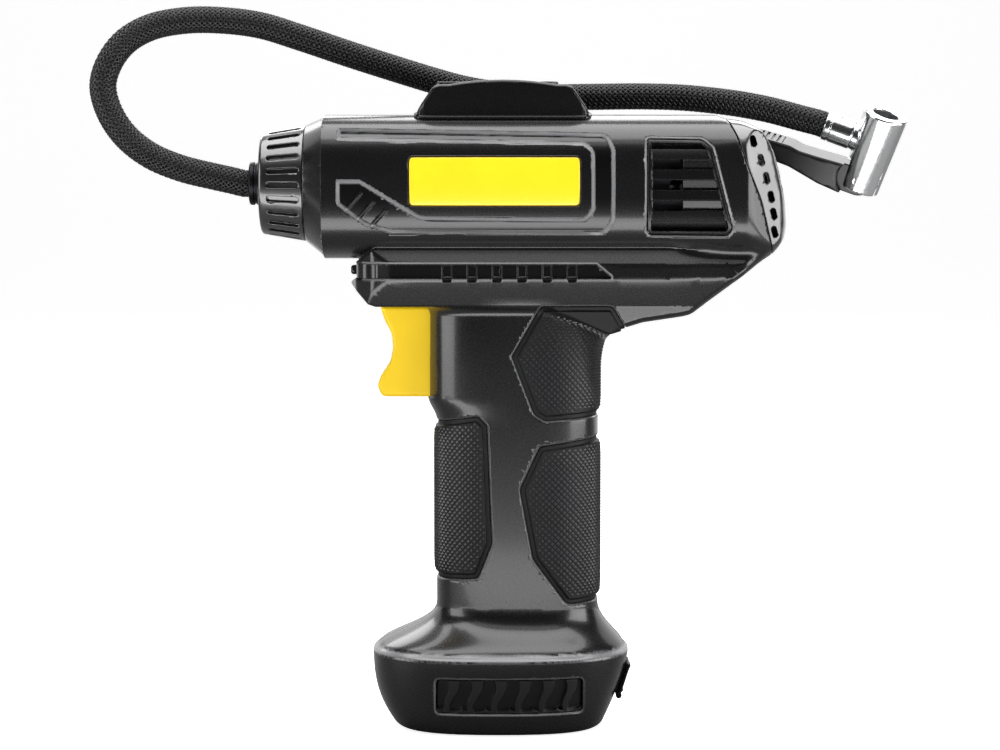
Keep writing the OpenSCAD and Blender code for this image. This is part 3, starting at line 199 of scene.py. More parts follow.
class Outline:
    """Distance to a closed outline in a plane, below zero inside it."""

    step = 0.15

    def __init__(self, points, radius=0.0, margin=4.0):
        path = rounded(points, radius)
        self.low = path.min(0) - margin
        self.count = np.ceil((path.max(0) + margin - self.low) / self.step).astype(int) + 1
        u, v = np.meshgrid(*[lo + self.step * np.arange(n) for lo, n in zip(self.low, self.count)],
                           indexing="ij")
        near, inside = np.full(u.shape, 1e9), np.zeros(u.shape, bool)
        for a, b in zip(path, np.roll(path, -1, 0)):
            e, du, dv = b - a, u - a[0], v - a[1]
            t = unit((du * e[0] + dv * e[1]) / max(e @ e, 1e-12))
            near = np.minimum(near, (du - t * e[0]) ** 2 + (dv - t * e[1]) ** 2)
            if a[1] != b[1]:
                inside ^= ((a[1] > v) != (b[1] > v)) & (du < e[0] * dv / e[1])
        self.field = (np.sqrt(near) * np.where(inside, -1, 1)).astype(np.float32)

    def __call__(self, u, v):
        u = np.clip((u - self.low[0]) / self.step, 0, self.count[0] - 1.001)
        v = np.clip((v - self.low[1]) / self.step, 0, self.count[1] - 1.001)
        i, j = u.astype(np.int32), v.astype(np.int32)
        u, v = u - i, v - j
        at = i * self.count[1] + j
        field, row = self.field.ravel(), self.count[1]
        low = field[at] * (1 - v) + field[at + 1] * v
        high = field[at + row] * (1 - v) + field[at + row + 1] * v
        return low * (1 - u) + high * u


BATCH, CORES = 200000, 4  # points worked out at once, and how many such batches


def evaluate(shape, points):
    """A shape's distance at many points, worked out on all cores."""
    parts = np.array_split(points.astype(np.float32), max(1, len(points) // BATCH))
    with ThreadPoolExecutor(CORES) as pool:
        done = list(pool.map(lambda p: shape(p[:, 0], p[:, 1], p[:, 2]).astype(np.float32), parts))
    return np.concatenate(done)


def slope_at(shape, points, h=0.04):
    """How fast a shape's distance grows along each axis."""
    return np.stack([evaluate(shape, points + h * e) - evaluate(shape, points - h * e)
                     for e in np.eye(3)], 1) / (2 * h)


def facing(shape, points):
    """Unit normals of a shape at points."""
    normals = slope_at(shape, points)
    return normals / np.maximum(np.linalg.norm(normals, axis=1), 1e-6)[:, None]


def towards(shape, points, value, limit):
    """Points moved from their distance to a shape's surface, at most a limit along each axis."""
    grad = slope_at(shape, points)
    step = value[:, None] * grad / np.maximum((grad ** 2).sum(1), 0.2)[:, None]
    return points - np.clip(step, -limit, limit)


CELLS, CUBES = 8, 4000  # voxels along a cube's side, and how many cubes are worked out at once
BAND = 3  # voxels on both sides of the surface in which the distance is kept
MERGE = 0.02  # how readily flat triangles are merged


def carve(name, shape, low, high, voxel, place=None):
    """Object whose closed surface is where a shape's distance is zero, with its own normals."""
    low, high = np.array(low, float), np.array(high, float)
    side = voxel * CELLS
    n = np.ceil((high - low) / side).astype(int) + 1
    corner = np.stack(np.meshgrid(*[low[k] + side * np.arange(n[k] + 1) for k in range(3)],
                                  indexing="ij"), -1)
    rough = evaluate(shape, corner.reshape(-1, 3)).reshape(n + 1)
    stack = np.stack([rough[i:i + n[0], j:j + n[1], k:k + n[2]]
                      for i in (0, 1) for j in (0, 1) for k in (0, 1)])
    near = (np.abs(stack).min(0) < 1.1 * side) | ((stack < 0).any(0) & (stack >= 0).any(0))
    band = BAND * voxel
    dense = np.where(rough[:-1, :-1, :-1] < 0, -band, band).astype(np.float32)
    for axis in range(3):
        dense = np.repeat(dense, CELLS, axis)
    cube = np.stack(np.meshgrid(*[np.arange(CELLS)] * 3, indexing="ij"), -1).reshape(-1, 3)
    found = np.argwhere(near)
    for group in np.array_split(found, max(1, len(found) // CUBES)):
        at = (group[:, None] * CELLS + cube[None]).reshape(-1, 3)
        value = np.clip(evaluate(shape, low + at * voxel), -band, band)
        dense[at[:, 0], at[:, 1], at[:, 2]] = value
    grid = vdb.FloatGrid(band)
    grid.copyFromArray(dense, tolerance=0.0)
    points, triangles, quads = grid.convertToPolygons(isovalue=0.0, adaptivity=MERGE)
    points = points.astype(np.float64) * voxel + low
    value = evaluate(shape, points)
    for _ in range(2):
        moved = towards(shape, points, value, 0.7 * voxel)
        left = evaluate(shape, moved)
        nearer = np.abs(left) < np.abs(value)
        points[nearer], value[nearer] = moved[nearer], left[nearer]
    normals = facing(shape, points)
    if place is not None:
        turn = np.array(place.to_3x3())
        points, normals = points @ turn.T + np.array(place.translation), normals @ turn.T
    faces = [list(f) for f in triangles] + [list(f) for f in quads]
    mesh = bpy.data.meshes.new(name)
    mesh.from_pydata((points * MM).tolist(), [], faces)
    mesh.update()
    mesh.polygons.foreach_set("use_smooth", [True] * len(faces))
    mesh.normals_split_custom_set_from_vertices(normals.tolist())
    return add(name, mesh)


def mark(obj, shade, layer_name):
    """Writes a number from 0 to 1 for each vertex in a layer that the finish reads."""
    points = np.empty(len(obj.data.vertices) * 3, np.float32)
    obj.data.vertices.foreach_get("co", points)
    layer = obj.data.attributes.new(layer_name, "FLOAT", "POINT")
    layer.data.foreach_set("value", evaluate(shade, points.reshape(-1, 3) / MM))


def add(name, mesh):
    obj = bpy.data.objects.new(name, mesh)
    bpy.context.scene.collection.objects.link(obj)
    return obj


# ------------------------------------------------------------------ the moulded body


def barrel(x, y, z):
    u = unit((x - NECK_FRONT) / (BARREL_FRONT - NECK_FRONT))
    neck = x < BARREL_FRONT
    a = np.where(neck, (COLLAR_R + 2) * (1 - u) + (BARREL_HALF - 0.7) * u, BARREL_HALF)
    top = BARREL_TOP - BARREL_Z
    b = np.where(neck, COLLAR_R * (1 - u) + (top - 0.6) * u, top)
    curve = np.where(neck, NECK_CURVE + (BARREL_CURVE - NECK_CURVE) * u, BARREL_CURVE)
    centre = np.where(neck, NOSE_Z * (1 - u) + BARREL_Z * u, BARREL_Z)
    return squircle(y, z - centre, a, b, curve)


TAIL = Outline(
    [(-75, 100), (-75, 200), (60, 200), (BARREL_REAR - 20, 200), (BARREL_REAR - 20, 184.5),
     (BARREL_REAR - 14, 183.7), (77.1, 180), (81, 174), (83.2, 166.5), (84.8, 159), (85.4, 151.5),
     (84.5, 147.2), (81.3, 143.3), (56.6, 124.6), (54.2, 124), (42.1, 122.2), (34.5, 119.8),
     (30, 113.6), (30, 100)],
    [0, 0, 0, 0, 6, 12, 8, 20, 20, 20, 10, 5, 4, 6, 6, 6, 4, 0, 0])
PLAN = Outline([(-80, 45), (-80, -45), (58, -29), (72, -27.6), (84, -16.5), (85.6, 0), (84, 16.5),
                (72, 27.6), (58, 29)], [0, 0, 10, 2, 6, 20, 6, 2, 10])


def barrel_body(x, y, z):
    whole = both(barrel(x, y, z), TAIL(x, z), 3.0)
    return both(both(whole, PLAN(x, y), 2.0), NECK_FRONT - x, 0.4)


STOP_X = -GRIP_FRONT - FINGER_STOP
BLOCK_SIDE = Outline(
    [(BLOCK_NOSE + 1.4, RAIL_TOP), (BLOCK_NOSE + 1.4, RAIL_BOTTOM), (BLOCK_NOSE, GUARD_Z + 6.9),
     (BLOCK_NOSE + 5.7, GUARD_Z + 0.8), (BLOCK_NOSE + 8, GUARD_Z), (STOP_X, GUARD_Z),
     (14, GUARD_Z), (32, GUARD_Z - 8), (90, GUARD_Z - 8), (90, BARREL_Z),
     (BLOCK_NOSE + 8.4, BARREL_Z), (BLOCK_NOSE + 8.4, FACET_TOP)],
    [0.3, 0.3, 0.6, 0.8, 1, 0, 6, 6, 0, 0, 0, 0.3])
BLOCK_SECTION = Outline(doubled(
    [(BLOCK_HALF - 5.8, GUARD_Z - 10), (BLOCK_HALF - 4, GUARD_Z),
     (BLOCK_HALF - 0.4, RAIL_BOTTOM - 1), (BLOCK_HALF, RAIL_BOTTOM), (BLOCK_HALF, RAIL_TOP),
     (BLOCK_HALF - 2.8, FACET_TOP), (BLOCK_HALF - 2.8, BARREL_Z)], 0), 0.4)
BLOCK_PLAN = Outline(doubled(
    [(BLOCK_NOSE, BLOCK_HALF - 15), (BLOCK_NOSE + 2, BLOCK_HALF - 8),
     (BLOCK_NOSE + 7, BLOCK_HALF - 2), (BLOCK_NOSE + 12, BLOCK_HALF), (50, BLOCK_HALF + 1),
     (70, BLOCK_HALF - 2), (80, BLOCK_HALF - 8), (BARREL_REAR + 3, BLOCK_HALF - 14)], 1), 4)


def block_body(x, y, z):
    side = np.abs(y) + 3.2 * ease((x - 48) / 22)
    solid = both(both(BLOCK_SIDE(x, z), BLOCK_SECTION(side, z), 0.5), BLOCK_PLAN(x, y), 0.5)
    return both(solid, TAIL(x, z), 2.5)


def upper_body(x, y, z):
    """Barrel and block, which run into each other smoothly towards the tail."""
    barrel_part, block_part = barrel_body(x, y, z), block_body(x, y, z)
    tail = ease((x - 48) / 14)
    joined = (either(barrel_part, block_part, 0.5) * (1 - tail)
              + either(barrel_part, block_part, 3.0) * tail)
    return both(joined, TAIL(x, z), 2.5)


def flare(z):
    return unit((FLARE_TOP - z) / (FLARE_TOP - BASE_H))


def grip_section(z):
    """Front, rear and half width of the grip and foot at a height."""
    low, tuck, f = z < BASE_H, unit(1 - z / BASE_H), flare(z)
    front = np.where(low, -BASE_END + 7.6 * tuck ** 2.6,
                     -GRIP_FRONT + (GRIP_FRONT - BASE_END) * ease(f ** 1.4)
                     - FINGER_STOP * ease((z - GUARD_Z + 34.6) / 7))
    rear = np.where(low, BASE_END - 8.5 * tuck ** 1.4,
                    GRIP_REAR + (BASE_END - GRIP_REAR) * ease(f ** 1.3)
                    + 4.3 * unit((z - GUARD_Z + 19.6) / 15.4) ** 2.2)
    half = np.where(low, BASE_HALF - 6.5 * tuck ** 2,
                    GRIP_HALF + (BASE_HALF - GRIP_HALF) * ease(f ** 1.4))
    return front, rear, half


def grip(x, y, z):
    """Distance in a level section from the grip and foot."""
    front, rear, half = grip_section(z)
    lip = 1.4 * ease((z - BASE_H + 0.9) / 1.8) * (1 - ease((z - BASE_H - 2) / 9))
    return squircle(x - (front + rear) / 2, y, (rear - front) / 2, half, GRIP_CURVE) + lip


def handle(x, y, z):
    return both(both(grip(x, y, z), -z, 1.6), z - GUARD_Z - 6)


def hand_surface(x, y, z):
    return either(grip(x, y, z), block_body(x, y, z), 3.0)


def body(x, y, z):
    return either(upper_body(x, y, z), handle(x, y, z), 3.0)


def hollow(x, y, z):
    inner = np.minimum(barrel_body(x, y, z) + WALL, block_body(x, y, z) + WALL + 1.8)
    return either(inner, np.maximum(grip(x, y, z) + WALL, slab(z, 5, GUARD_Z + 3)), 2.0)


FRONT = BARREL_FRONT + 4.9
CHANNEL = Outline(
    [(FRONT, BARREL_TOP - 4.8), (31.1, BARREL_TOP - 6.3), (32.9, BARREL_TOP - 10.9),
     (32.9, BARREL_BOTTOM + 11.2), (30, BARREL_BOTTOM + 7.7), (-31.8, BARREL_BOTTOM + 8.3),
     (FRONT + 8, BARREL_BOTTOM + 10.5), (FRONT, BARREL_BOTTOM + 16.5),
     (FRONT, BARREL_BOTTOM + 23.1), (FRONT + 6.5, BARREL_BOTTOM + 23.1),
     (-23.6, BARREL_BOTTOM + 12.4), (24.5, BARREL_BOTTOM + 11.8), (26.8, BARREL_BOTTOM + 14.7),
     (26.7, BARREL_TOP - 11.5), (24.4, BARREL_TOP - 9.1), (FRONT, BARREL_TOP - 7.7)],
    [2.6, 4, 4, 4.5, 3.5, 3, 1, 1, 0.6, 2, 4, 3, 2.4, 2.4, 2.4, 0.5])
CORNERS = ((-1, -1), (1, -1), (1, 1), (-1, 1))


def bar(centre, angle, length, width):
    """Outline of a straight bar about a centre."""
    return [np.array(centre) + turned(u * length / 2, v * width / 2, angle) for u, v in CORNERS]


RIBS = [Outline(bar((-44.5 + 3.6 * k, BARREL_BOTTOM + 15.6 - 2.5 * k), 48, 11, 0.5))
        for k in range(3)]


def plate(centre, size, r):
    """Rounded rectangle about a centre."""
    return Outline(bar(centre, 0, *size), r)


PANEL = plate(PANEL_AT, PANEL_SIZE, 1.6)
WINDOW = plate((2.5, FOOT_MID), (43.4, 10.4), 1.6)
VENT = Outline(
    [(42.7, BARREL_TOP - 7.6), (58.6, BARREL_TOP - 7.9), (61.4, BARREL_TOP - 10.2),
     (67.6, BARREL_BOTTOM + 9.2), (66.3, BARREL_BOTTOM + 7.2), (43.6, BARREL_BOTTOM + 7.5),
     (42.7, BARREL_BOTTOM + 8.6)], [0.8, 2, 2, 1.4, 1.4, 1, 1])
VENT_TOP, VENT_PITCH, VENT_OPEN = BARREL_TOP - 13.6, 5.957, (44.4, 53.1)
CAP = Outline(
    [(BARREL_REAR - 21.8, BARREL_TOP + 5), (BARREL_REAR - 16.1, BARREL_TOP - 7.8),
     (BARREL_REAR - 13.7, BARREL_TOP - 15.2), (BARREL_REAR - 9.2, BARREL_TOP - 25.4),
     (BARREL_REAR - 5.6, BARREL_BOTTOM + 3.8), (BARREL_REAR - 4.6, BARREL_BOTTOM - 2),
     (BARREL_REAR + 20, BARREL_BOTTOM - 2), (BARREL_REAR + 20, BARREL_TOP + 5)],
    [0, 20, 20, 20, 10, 0, 0, 0])
CAP_SLOTS = [(73.7, 176.3), (76.1, 170.8), (77.9, 165.5), (79.4, 160.0), (80.3, 155.0),
             (80.6, 149.7)]
RAIL = Outline(
    [(BLOCK_NOSE - 8, RAIL_BOTTOM), (32.4, RAIL_BOTTOM), (32.4, RAIL_BOTTOM + 0.8), (28, RAIL_TOP),
     (BLOCK_NOSE - 8, RAIL_TOP)], [0, 0.3, 0.6, 1, 0])
PADS = {
    "upper": Outline(
        [(3.2, GUARD_Z - 14.8), (11.8, GUARD_Z + 0.2), (33, GUARD_Z + 0.2), (37.5, GUARD_Z - 7.5),
         (42, GUARD_Z - 9), (42, GUARD_Z - 33), (28.4, GUARD_Z - 33), (13, GUARD_Z - 34),
         (9.8, GUARD_Z - 32)], [0.8, 1.5, 2, 2, 0, 0, 1, 3, 3]),
    "lower": Outline(
        [(5.6, GUARD_Z - 54.3), (11.5, GUARD_Z - 41.5), (28.4, GUARD_Z - 39.4),
         (44, GUARD_Z - 39.4), (44, FLARE_TOP + 1.4), (19.6, FLARE_TOP + 0.6),
         (9.5, FLARE_TOP + 14.4)],
        [2, 2, 1, 0, 0, 3, 2]),
    "front": Outline(
        [(-34, GUARD_Z - 34.9), (-20.1, GUARD_Z - 34.9), (-6.8, GUARD_Z - 32.6),
         (-4.1, GUARD_Z - 35.4), (-2.7, FLARE_TOP + 18.9), (-6.8, FLARE_TOP + 8.5),
         (-19, FLARE_TOP + 7.6), (-34, FLARE_TOP + 7.6)], [0, 1, 1.5, 1.5, 2, 2, 1, 0])}


def housing(side):
    """One half of the housing: its outer surface, its cuts and the hollow inside."""

    def shape(x, y, z):
        y = side * y
        outer = body(x, y, z)
        # trim channel with sloped walls, and thin ribs left standing in its front pocket
        depth = CHANNEL_D * np.minimum(unit((0.4 - CHANNEL(x, z)) / 1.1),
                                       unit(any_of(RIBS, x, z) / 0.4 + 0.2))
        outer = outer + np.where(y > 14, depth, 0)
        # pocket for the panel, windows for the vent and the foot's insert
        windows = any_of((VENT, WINDOW), x, z) - 0.08
        outer = less(outer, both(PANEL(x, z) - 0.15, PANEL_SEAT - y), 0.2)
        outer = bevelled(outer, np.maximum(windows, 14 - y), 0.75)
        # rail band, shallower at the nose, and its grooves
        raw = block_body(x, y, z)
        rail_bed = 2.2 - 1.5 * ease((BLOCK_NOSE + 8 - x) / 4)
        outer = bevelled(outer, np.maximum(RAIL(x, z), -(raw + rail_bed)), 0.4)
        across = np.abs(x - nearest(x, GROOVE_FIRST, GROOVE_PITCH, GROOVES)) - 1.35
        groove = both(across, slab(z, RAIL_BOTTOM - 0.9, RAIL_TOP - 0.3), 0.5)
        outer = less(outer, np.maximum(groove, -(raw + 3.0)), 0.2)
        # beds of the grip pads and seat of the tail cap
        pad_bed = hand_surface(x, y, z) + PAD_T - PAD_PROUD + 0.1
        outer = bevelled(outer, np.maximum(any_of(PADS.values(), x, z) - 0.05, -pad_bed), 0.45)
        outer = less(outer, CAP(x, z) - 0.08, 0.35)
        # openings: collar, lamp, display cable, trigger, charging socket and cover
        for cut in (np.maximum(np.hypot(y, z - NOSE_Z) - 15, x + 47.6),
                    block(x, y, z, (-60, -5.2, 136.55), (-33, 5.2, 139.75)),
                    block(x, y, z, (-12, -10, BARREL_TOP - 6), (14, 10, BARREL_TOP + 5)),
                    block(x, y, z, (-30, -6.8, GUARD_Z - 27.9), (-14.1, 6.8, GUARD_Z)),
                    block(x, y, z, (30.8, -4.9, 10.1), (44, 4.9, 14.3), 1.6),
                    np.maximum(squircle(x, y, 28.0, 19.7, GRIP_CURVE), z - 2.4)):
            outer = less(outer, cut, 0.3)
        if side > 0:
            for sx, sz in SCREW_SPOTS:
                outer = less(outer, np.maximum(np.hypot(x - sx, z - sz) - 2.6, 12 - y), 0.3)
        return both(less(outer, hollow(x, y, z), 0.2), 0.02 - y, 0.25)

    return shape


def painted_shade_floors(x, y, z):
    """One on the floors of the trim channel and of the rail, where shade is painted darker."""
    side = np.abs(y)
    channel = unit((-CHANNEL(x, z) - 0.75) / 0.3) * (side > 20) * (any_of(RIBS, x, z) > 0.35)
    rail = unit((block_body(x, y, z) < -1.2) * (-RAIL(x, z) - 0.5) / 0.3) * (side > 12)
    return np.maximum(channel, rail)


def lip_highlights(x, y, z):
    """One on the bevels of the channel, the windows and the rail and on the foot's rim, which carry
    a painted highlight of lighter grey, and half on those of the pads' beds."""

    def line(v, middle, half):
        return unit((half - np.abs(v - middle)) / 0.2)

    side = np.maximum.reduce([
        line(CHANNEL(x, z), -0.15, 0.55) * (np.abs(y) > 20),
        line(any_of((VENT, WINDOW), x, z), 0.4, 0.4),
        line(RAIL(x, z), 0.2, 0.3) * (x > BLOCK_NOSE + 4),
        0.5 * line(any_of(PADS.values(), x, z), 0.2, 0.3)])
    return np.maximum(side * (np.abs(y) > 8), line(z, BASE_H, 0.75))


def tail_cap(x, y, z):
    """Cap with chamfered flanks and a row of leaning slots on each side."""
    outer = upper_body(x, y, z)
    seam = CAP(x, z) + 0.1
    side = np.abs(y)
    chamfer = (side - (27.9 + 0.9 * seam)) / 1.345
    shell = both(both(outer, chamfer, 0.5), seam, 0.35)
    for cx, cz in CAP_SLOTS:
        u, v = turned(x - cx, z - cz, -16)
        slot = np.hypot(u, np.maximum(np.abs(v) - 0.8, 0)) - 0.9
        shell = less(shell, np.maximum(slot, 10 - side), 0.15)
    return less(shell, outer + 4.6, 0.2)


def grille(side):
    """Louvred insert: a framed plate with sloped slats, open between three of them."""

    def shape(x, y, z):
        y = side * y
        outer, edge = barrel_body(x, y, z), VENT(x, z) + 0.15
        phase = (VENT_TOP - z) / VENT_PITCH
        row = np.floor(phase)
        t = phase - row
        recess = unit(np.minimum(t, 0.5 - t) * VENT_PITCH / 0.25 + 0.5)
        inside = unit((-edge - 0.9) / 0.3)
        slat = 0.7 - 0.35 * unit((t - 0.5) * 2)
        depth = 0.25 + inside * np.where(t < 0.5, 0.5 + (1.2 + 1.3 * t) * recess, slat)
        plate = both(both(outer + depth, edge, 0.25), -(outer + 3.4), 0.2)
        gap = both(both(np.abs(t - 0.25) * VENT_PITCH - 1.42, slab(x, *VENT_OPEN), 0.5),
                   slab(row, -0.5, 2.5))
        return np.maximum(less(plate, gap, 0.2), 14 - y)

    return shape


def foot_rib(x, z):
    """Height over the foot insert's middle, and distance from the nearest rib's centre line."""
    v = z - FOOT_MID
    u = x - nearest(x, RIB_FIRST, RIB_PITCH, FOOT_RIBS)
    return v, np.abs(u - 0.18 * v - 0.55 * np.sin(v * 0.62))


def foot_insert(side):
    """Insert in the foot's window, with six leaning ribs and a scooped lower lip."""

    def shape(x, y, z):
        y = side * y
        outer, edge = grip(x, y, z), WINDOW(x, z) + 0.12
        v, rib = foot_rib(x, z)
        bay = ((x - RIB_FIRST) / RIB_PITCH + 0.5) % 1 * 2 - 1
        lip = unit(1 - (v + 5.1 - 1.1 * bay ** 2) / 1.05)
        floor = 1.7 - 1.3 * lip ** 1.3
        depth = np.minimum(floor, 0.45 + 1.3 * unit((rib - 1.05 - 0.12 * v) / 0.45))
        plate = both(both(outer + depth, edge, 0.3), -(outer + 3.0), 0.2)
        return np.maximum(plate, 12 - y)

    return shape


def painted_shade_between_ribs(x, y, z):
    """One in the deep bays between the foot insert's ribs, where shade is painted darker."""
    v, rib = foot_rib(x, z)
    return unit((rib - 1.3 - 0.12 * v) / 0.4) * unit((v + 4.6) / 0.4)


def panel(side):
    """Bright side panel, crowned a little from edge to edge."""

    def shape(x, y, z):
        y = side * y
        across, along = unit(np.abs(z - PANEL_AT[1]) / 7.2), x / 26
        crown = PANEL_FACE - 0.75 * across ** 2.4 - 0.12 * along ** 2
        return both(both(y - crown, PANEL(x, z), 0.45), PANEL_BACK - y, 0.1)

    return shape


def pad(outline):
    """Rubber pad with a low border round its raised field."""

    def shape(x, y, z):
        surface, edge = hand_surface(x, y, z), outline(x, z)
        height = -0.45 + 0.85 * ease((-edge - 1.25) / 0.45)
        skin = both(surface - height, edge + 0.06, 0.2)
        return both(skin, -(surface + PAD_T - PAD_PROUD), 0.1)

    return shape


TRIGGER = Outline(
    [(x, GUARD_Z - drop) for x, drop in (
        (-36.3, 0.3), (-35.0, 4.5), (-32.9, 8.5), (-32.4, 12.6), (-33.2, 16.8), (-36.2, 21.4),
        (-37.2, 24.2), (-35.9, 27.6), (-14, 27.6), (-14, 0.3))],
    [0.5, 6, 5, 8, 6, 4, 2.5, 3.2, 0.4, 0.4])


def trigger_shape(x, y, z):
    """Blade with a hollow behind it and the plunger that presses the switch."""
    blade = both(TRIGGER(x, z), np.abs(y) - TRIGGER_HALF, 1.3)
    blade = less(blade, block(x, y, z, (-31, -4.6, GUARD_Z - 24), (-12, 4.6, GUARD_Z - 19), 1), 0.3)
    plunger = both(np.hypot(y, z - PLUNGER_Z) - 2.4, slab(x, -15.5, -3), 0.4)
    return either(blade, plunger, 0.4)


HUMP = Outline([(-26, 176), (-26, BARREL_TOP), (-20.1, BARREL_TOP + 8.6)]
               + [(4 * k, DISPLAY_TOP - 1.4 * (k / 4) ** 2) for k in range(-4, 5)]
               + [(20.1, BARREL_TOP + 8.6), (26, BARREL_TOP), (26, 176)],
               [0, 0.5, 5.5] + [0] * 9 + [5.5, 0.5, 0])
HUMP_PLAN = plate((DISPLAY_X, 0), (DISPLAY_L, DISPLAY_W), 5)
GLASS = plate((-5, 0), (28, 26), 1.8)
GLASS_OPENING = plate((-5, 0), (24, 21), 1)


def hump(x, y, z):
    """Display housing, hollow, with its skirt on the barrel and the window's and keys' openings."""
    solid = both(HUMP(x - DISPLAY_X, z), HUMP_PLAN(x, y), 1.1)
    ground = barrel(np.maximum(x, BARREL_FRONT + 1), y, z)
    skirt = both(HUMP_PLAN(x, y) - 0.35, ground - 0.7, 0.3)
    solid = either(solid, skirt, 0.8)
    inner = both(HUMP(x - DISPLAY_X, z) + 2.2, HUMP_PLAN(x, y) + 2)
    solid = less(less(solid, inner, 0.2), ground - 0.02)
    solid = less(solid, np.maximum(GLASS(x, y) - 0.2, DISPLAY_TOP - 1.7 - z), 0.25)
    solid = less(solid, GLASS_OPENING(x, y))
    across = y - nearest(y, -1.5 * BUTTON_PITCH, BUTTON_PITCH, len(KEYS))
    return less(solid, np.hypot(x - BUTTON_X, across) - BUTTON_R - 0.3, 0.3)


def glass(x, y, z):
    return both(GLASS(x, y), slab(z, DISPLAY_TOP - 1.7, DISPLAY_TOP - 0.5), 0.25)


def key(slot):
    """Soft push button with a shallow dish and a raised sign."""
    cy = (slot - 1.5) * BUTTON_PITCH

    def shape(x, y, z):
        u, v = x - BUTTON_X, y - cy
        r = np.hypot(u, v)
        top = DISPLAY_TOP - 0.45 - 0.35 * unit(1 - (r / 2.4) ** 2)
        dash = both(np.abs(u) - 0.22, np.abs(v) - 1.1, 0.1)
        post = both(np.abs(v) - 0.22, np.abs(u) - 1.1, 0.1)
        sign = {0: np.abs(r - 1) - 0.2, 1: dash, 2: np.minimum(dash, post), 3: r - 0.8}[slot]
        cap = both(r - BUTTON_R, z - top - 0.25 * unit(0.5 - sign / 0.2), 0.35)
        foot = both(r - BUTTON_R - 0.6, z - DISPLAY_TOP + 4.5, 0.1)
        stem = both(np.minimum(cap, foot), DISPLAY_TOP - 4.8 - z, 0.1)
        return np.minimum(stem, np.maximum(r - 1.2, slab(z, DISPLAY_TOP - 5.4, DISPLAY_TOP - 4)))

    return shape


def collar(x, y, z):
    """Nose collar: a cone with grooves round it, a recessed face and a spigot into the housing."""
    r, u = np.hypot(y, z - NOSE_Z), x - COLLAR_FRONT
    cone = (r - (15.35 + 2.05 * unit((u - 1.2) / 12.1))) * 0.98
    ring = both(both(cone, -u, 1.3), u - COLLAR_L, 0.3)
    angle = np.arctan2(z - NOSE_Z, y) - math.radians(2)
    turn = 2 * math.pi / COLLAR_SLOTS
    across = r * (angle - np.round(angle / turn) * turn)
    slot = np.hypot(across, np.maximum(np.abs(u - 7.4) - 4.0, 0)) - 0.85
    ring = less(ring, np.maximum(slot, -(cone + 1.1)), 0.22)
    ring = either(ring, both(r - SPIGOT_R, slab(u, COLLAR_L - 1, COLLAR_L + 5), 0.4))
    bore = np.where(u < 3, r - 4.9, np.maximum(r - FACE_R, 0.9 - u))
    return less(ring, bore, 0.3)


def gland(x, y, z):
    """Ring that holds the hose in the nose, with its stem and the hose's barb."""
    r, u = np.hypot(y, z - NOSE_Z), x - COLLAR_FRONT
    ring = both(r - GLAND_R, slab(u, -3.6, -0.05), 0.7)
    ring = less(ring, np.maximum(np.abs(u + 1.7) - 0.35, 6.1 - r), 0.15)
    stem = both(r - 4.6, slab(u, -1, 8), 0.3)
    return either(either(ring, stem), both(r - 1.9, slab(u, 7, 14), 0.3))


def lamp_lens(x, y, z):
    lens = block(x, y, z, (-47, -5, 136.75), (-39, 5, 139.55), 1.2)
    return both(lens, BLOCK_PLAN(x, y) - 0.1, 0.8)


def port_flap(x, y, z):
    """Rubber flap over the charging socket, in its own lean."""
    u, v = x - FLAP_X, z - FLAP_Z
    hinge = np.maximum(np.hypot(u, v) - 0.9, np.abs(y) - 7)
    u, v = turned(u, v, FLAP_LEAN)
    leaf = block(u, y, v, (-0.6, -7, -0.4), (0.5, 7, 10.1), 0.45)
    tab = block(u, y, v, (0.1, -2.5, 7.9), (1.1, 2.5, 9.5), 0.45)
    rim = block(u, y, v, (0.1, -6.4, 1.2), (0.85, 6.4, 2.4), 0.35)
    return either(either(hinge, leaf, 0.3), either(tab, rim), 0.2)


# ------------------------------------------------------------------ chuck, in its own frame
CHUCK_L, CHUCK_R, FERRULE_Z, FERRULE_L = 25.6, 7.0, 15.5, 9.1
VALVE_R, SEAL_R, THROAT_R = 4.1, 5.1, 3
CHUCK_PLACE = Matrix.Translation((111.8, 28.5, 162.5))
for degrees, axis in ((17, "Y"), (20.5, "X"), (-10, "Z")):
    CHUCK_PLACE = CHUCK_PLACE @ Matrix.Rotation(math.radians(degrees), 4, axis)
LEVER = Outline([(-5.2, -2.2), (-5.2, 7), (-7.9, 7), (-15.4, 6.4), (-21.3, 6.1), (-24.3, 6.7),
                 (-36, 5.9), (-37.4, 4.6), (-37.4, 2), (-36, 0.8), (-29.9, 0.3), (-22.7, 0.2),
                 (-12.6, -1.7)], [0.5, 0.5, 6, 8, 8, 8, 2, 1.2, 1.2, 2, 8, 8, 5])


def chuck(x, y, z):
    """Chuck body with the hose's stub, the valve's bore, the seal's seat and the lever's slot."""
    r = np.hypot(x, y)
    solid = both(r - (CHUCK_R - 0.9 + 0.9 * z / CHUCK_L), slab(z, 0, CHUCK_L), 0.7)
    stub = both(np.hypot(y, z - FERRULE_Z) - 4.3, slab(x, -7.5, 0), 0.3)
    solid = either(solid, stub, 0.5)
    solid = less(solid, np.maximum(r - VALVE_R, CHUCK_L - 7 - z), 0.5)
    solid = less(solid, np.maximum(r - SEAL_R, slab(z, CHUCK_L - 9.6, CHUCK_L - 7 + 0.01)))
    solid = less(solid, np.maximum(r - THROAT_R, slab(z, 14, CHUCK_L - 9)))
    return less(solid, np.maximum(np.maximum(np.abs(y) - 3.3, z - 9.2), x - 5.2), 0.35)


def ferrule(x, y, z):
    r = np.hypot(y, z - FERRULE_Z)
    sleeve = both(r - 4.55, slab(x, -16.6, -7.52), 0.45)
    return less(sleeve, np.maximum(np.abs(x + 14.6) - 0.25, 4.3 - r), 0.12)


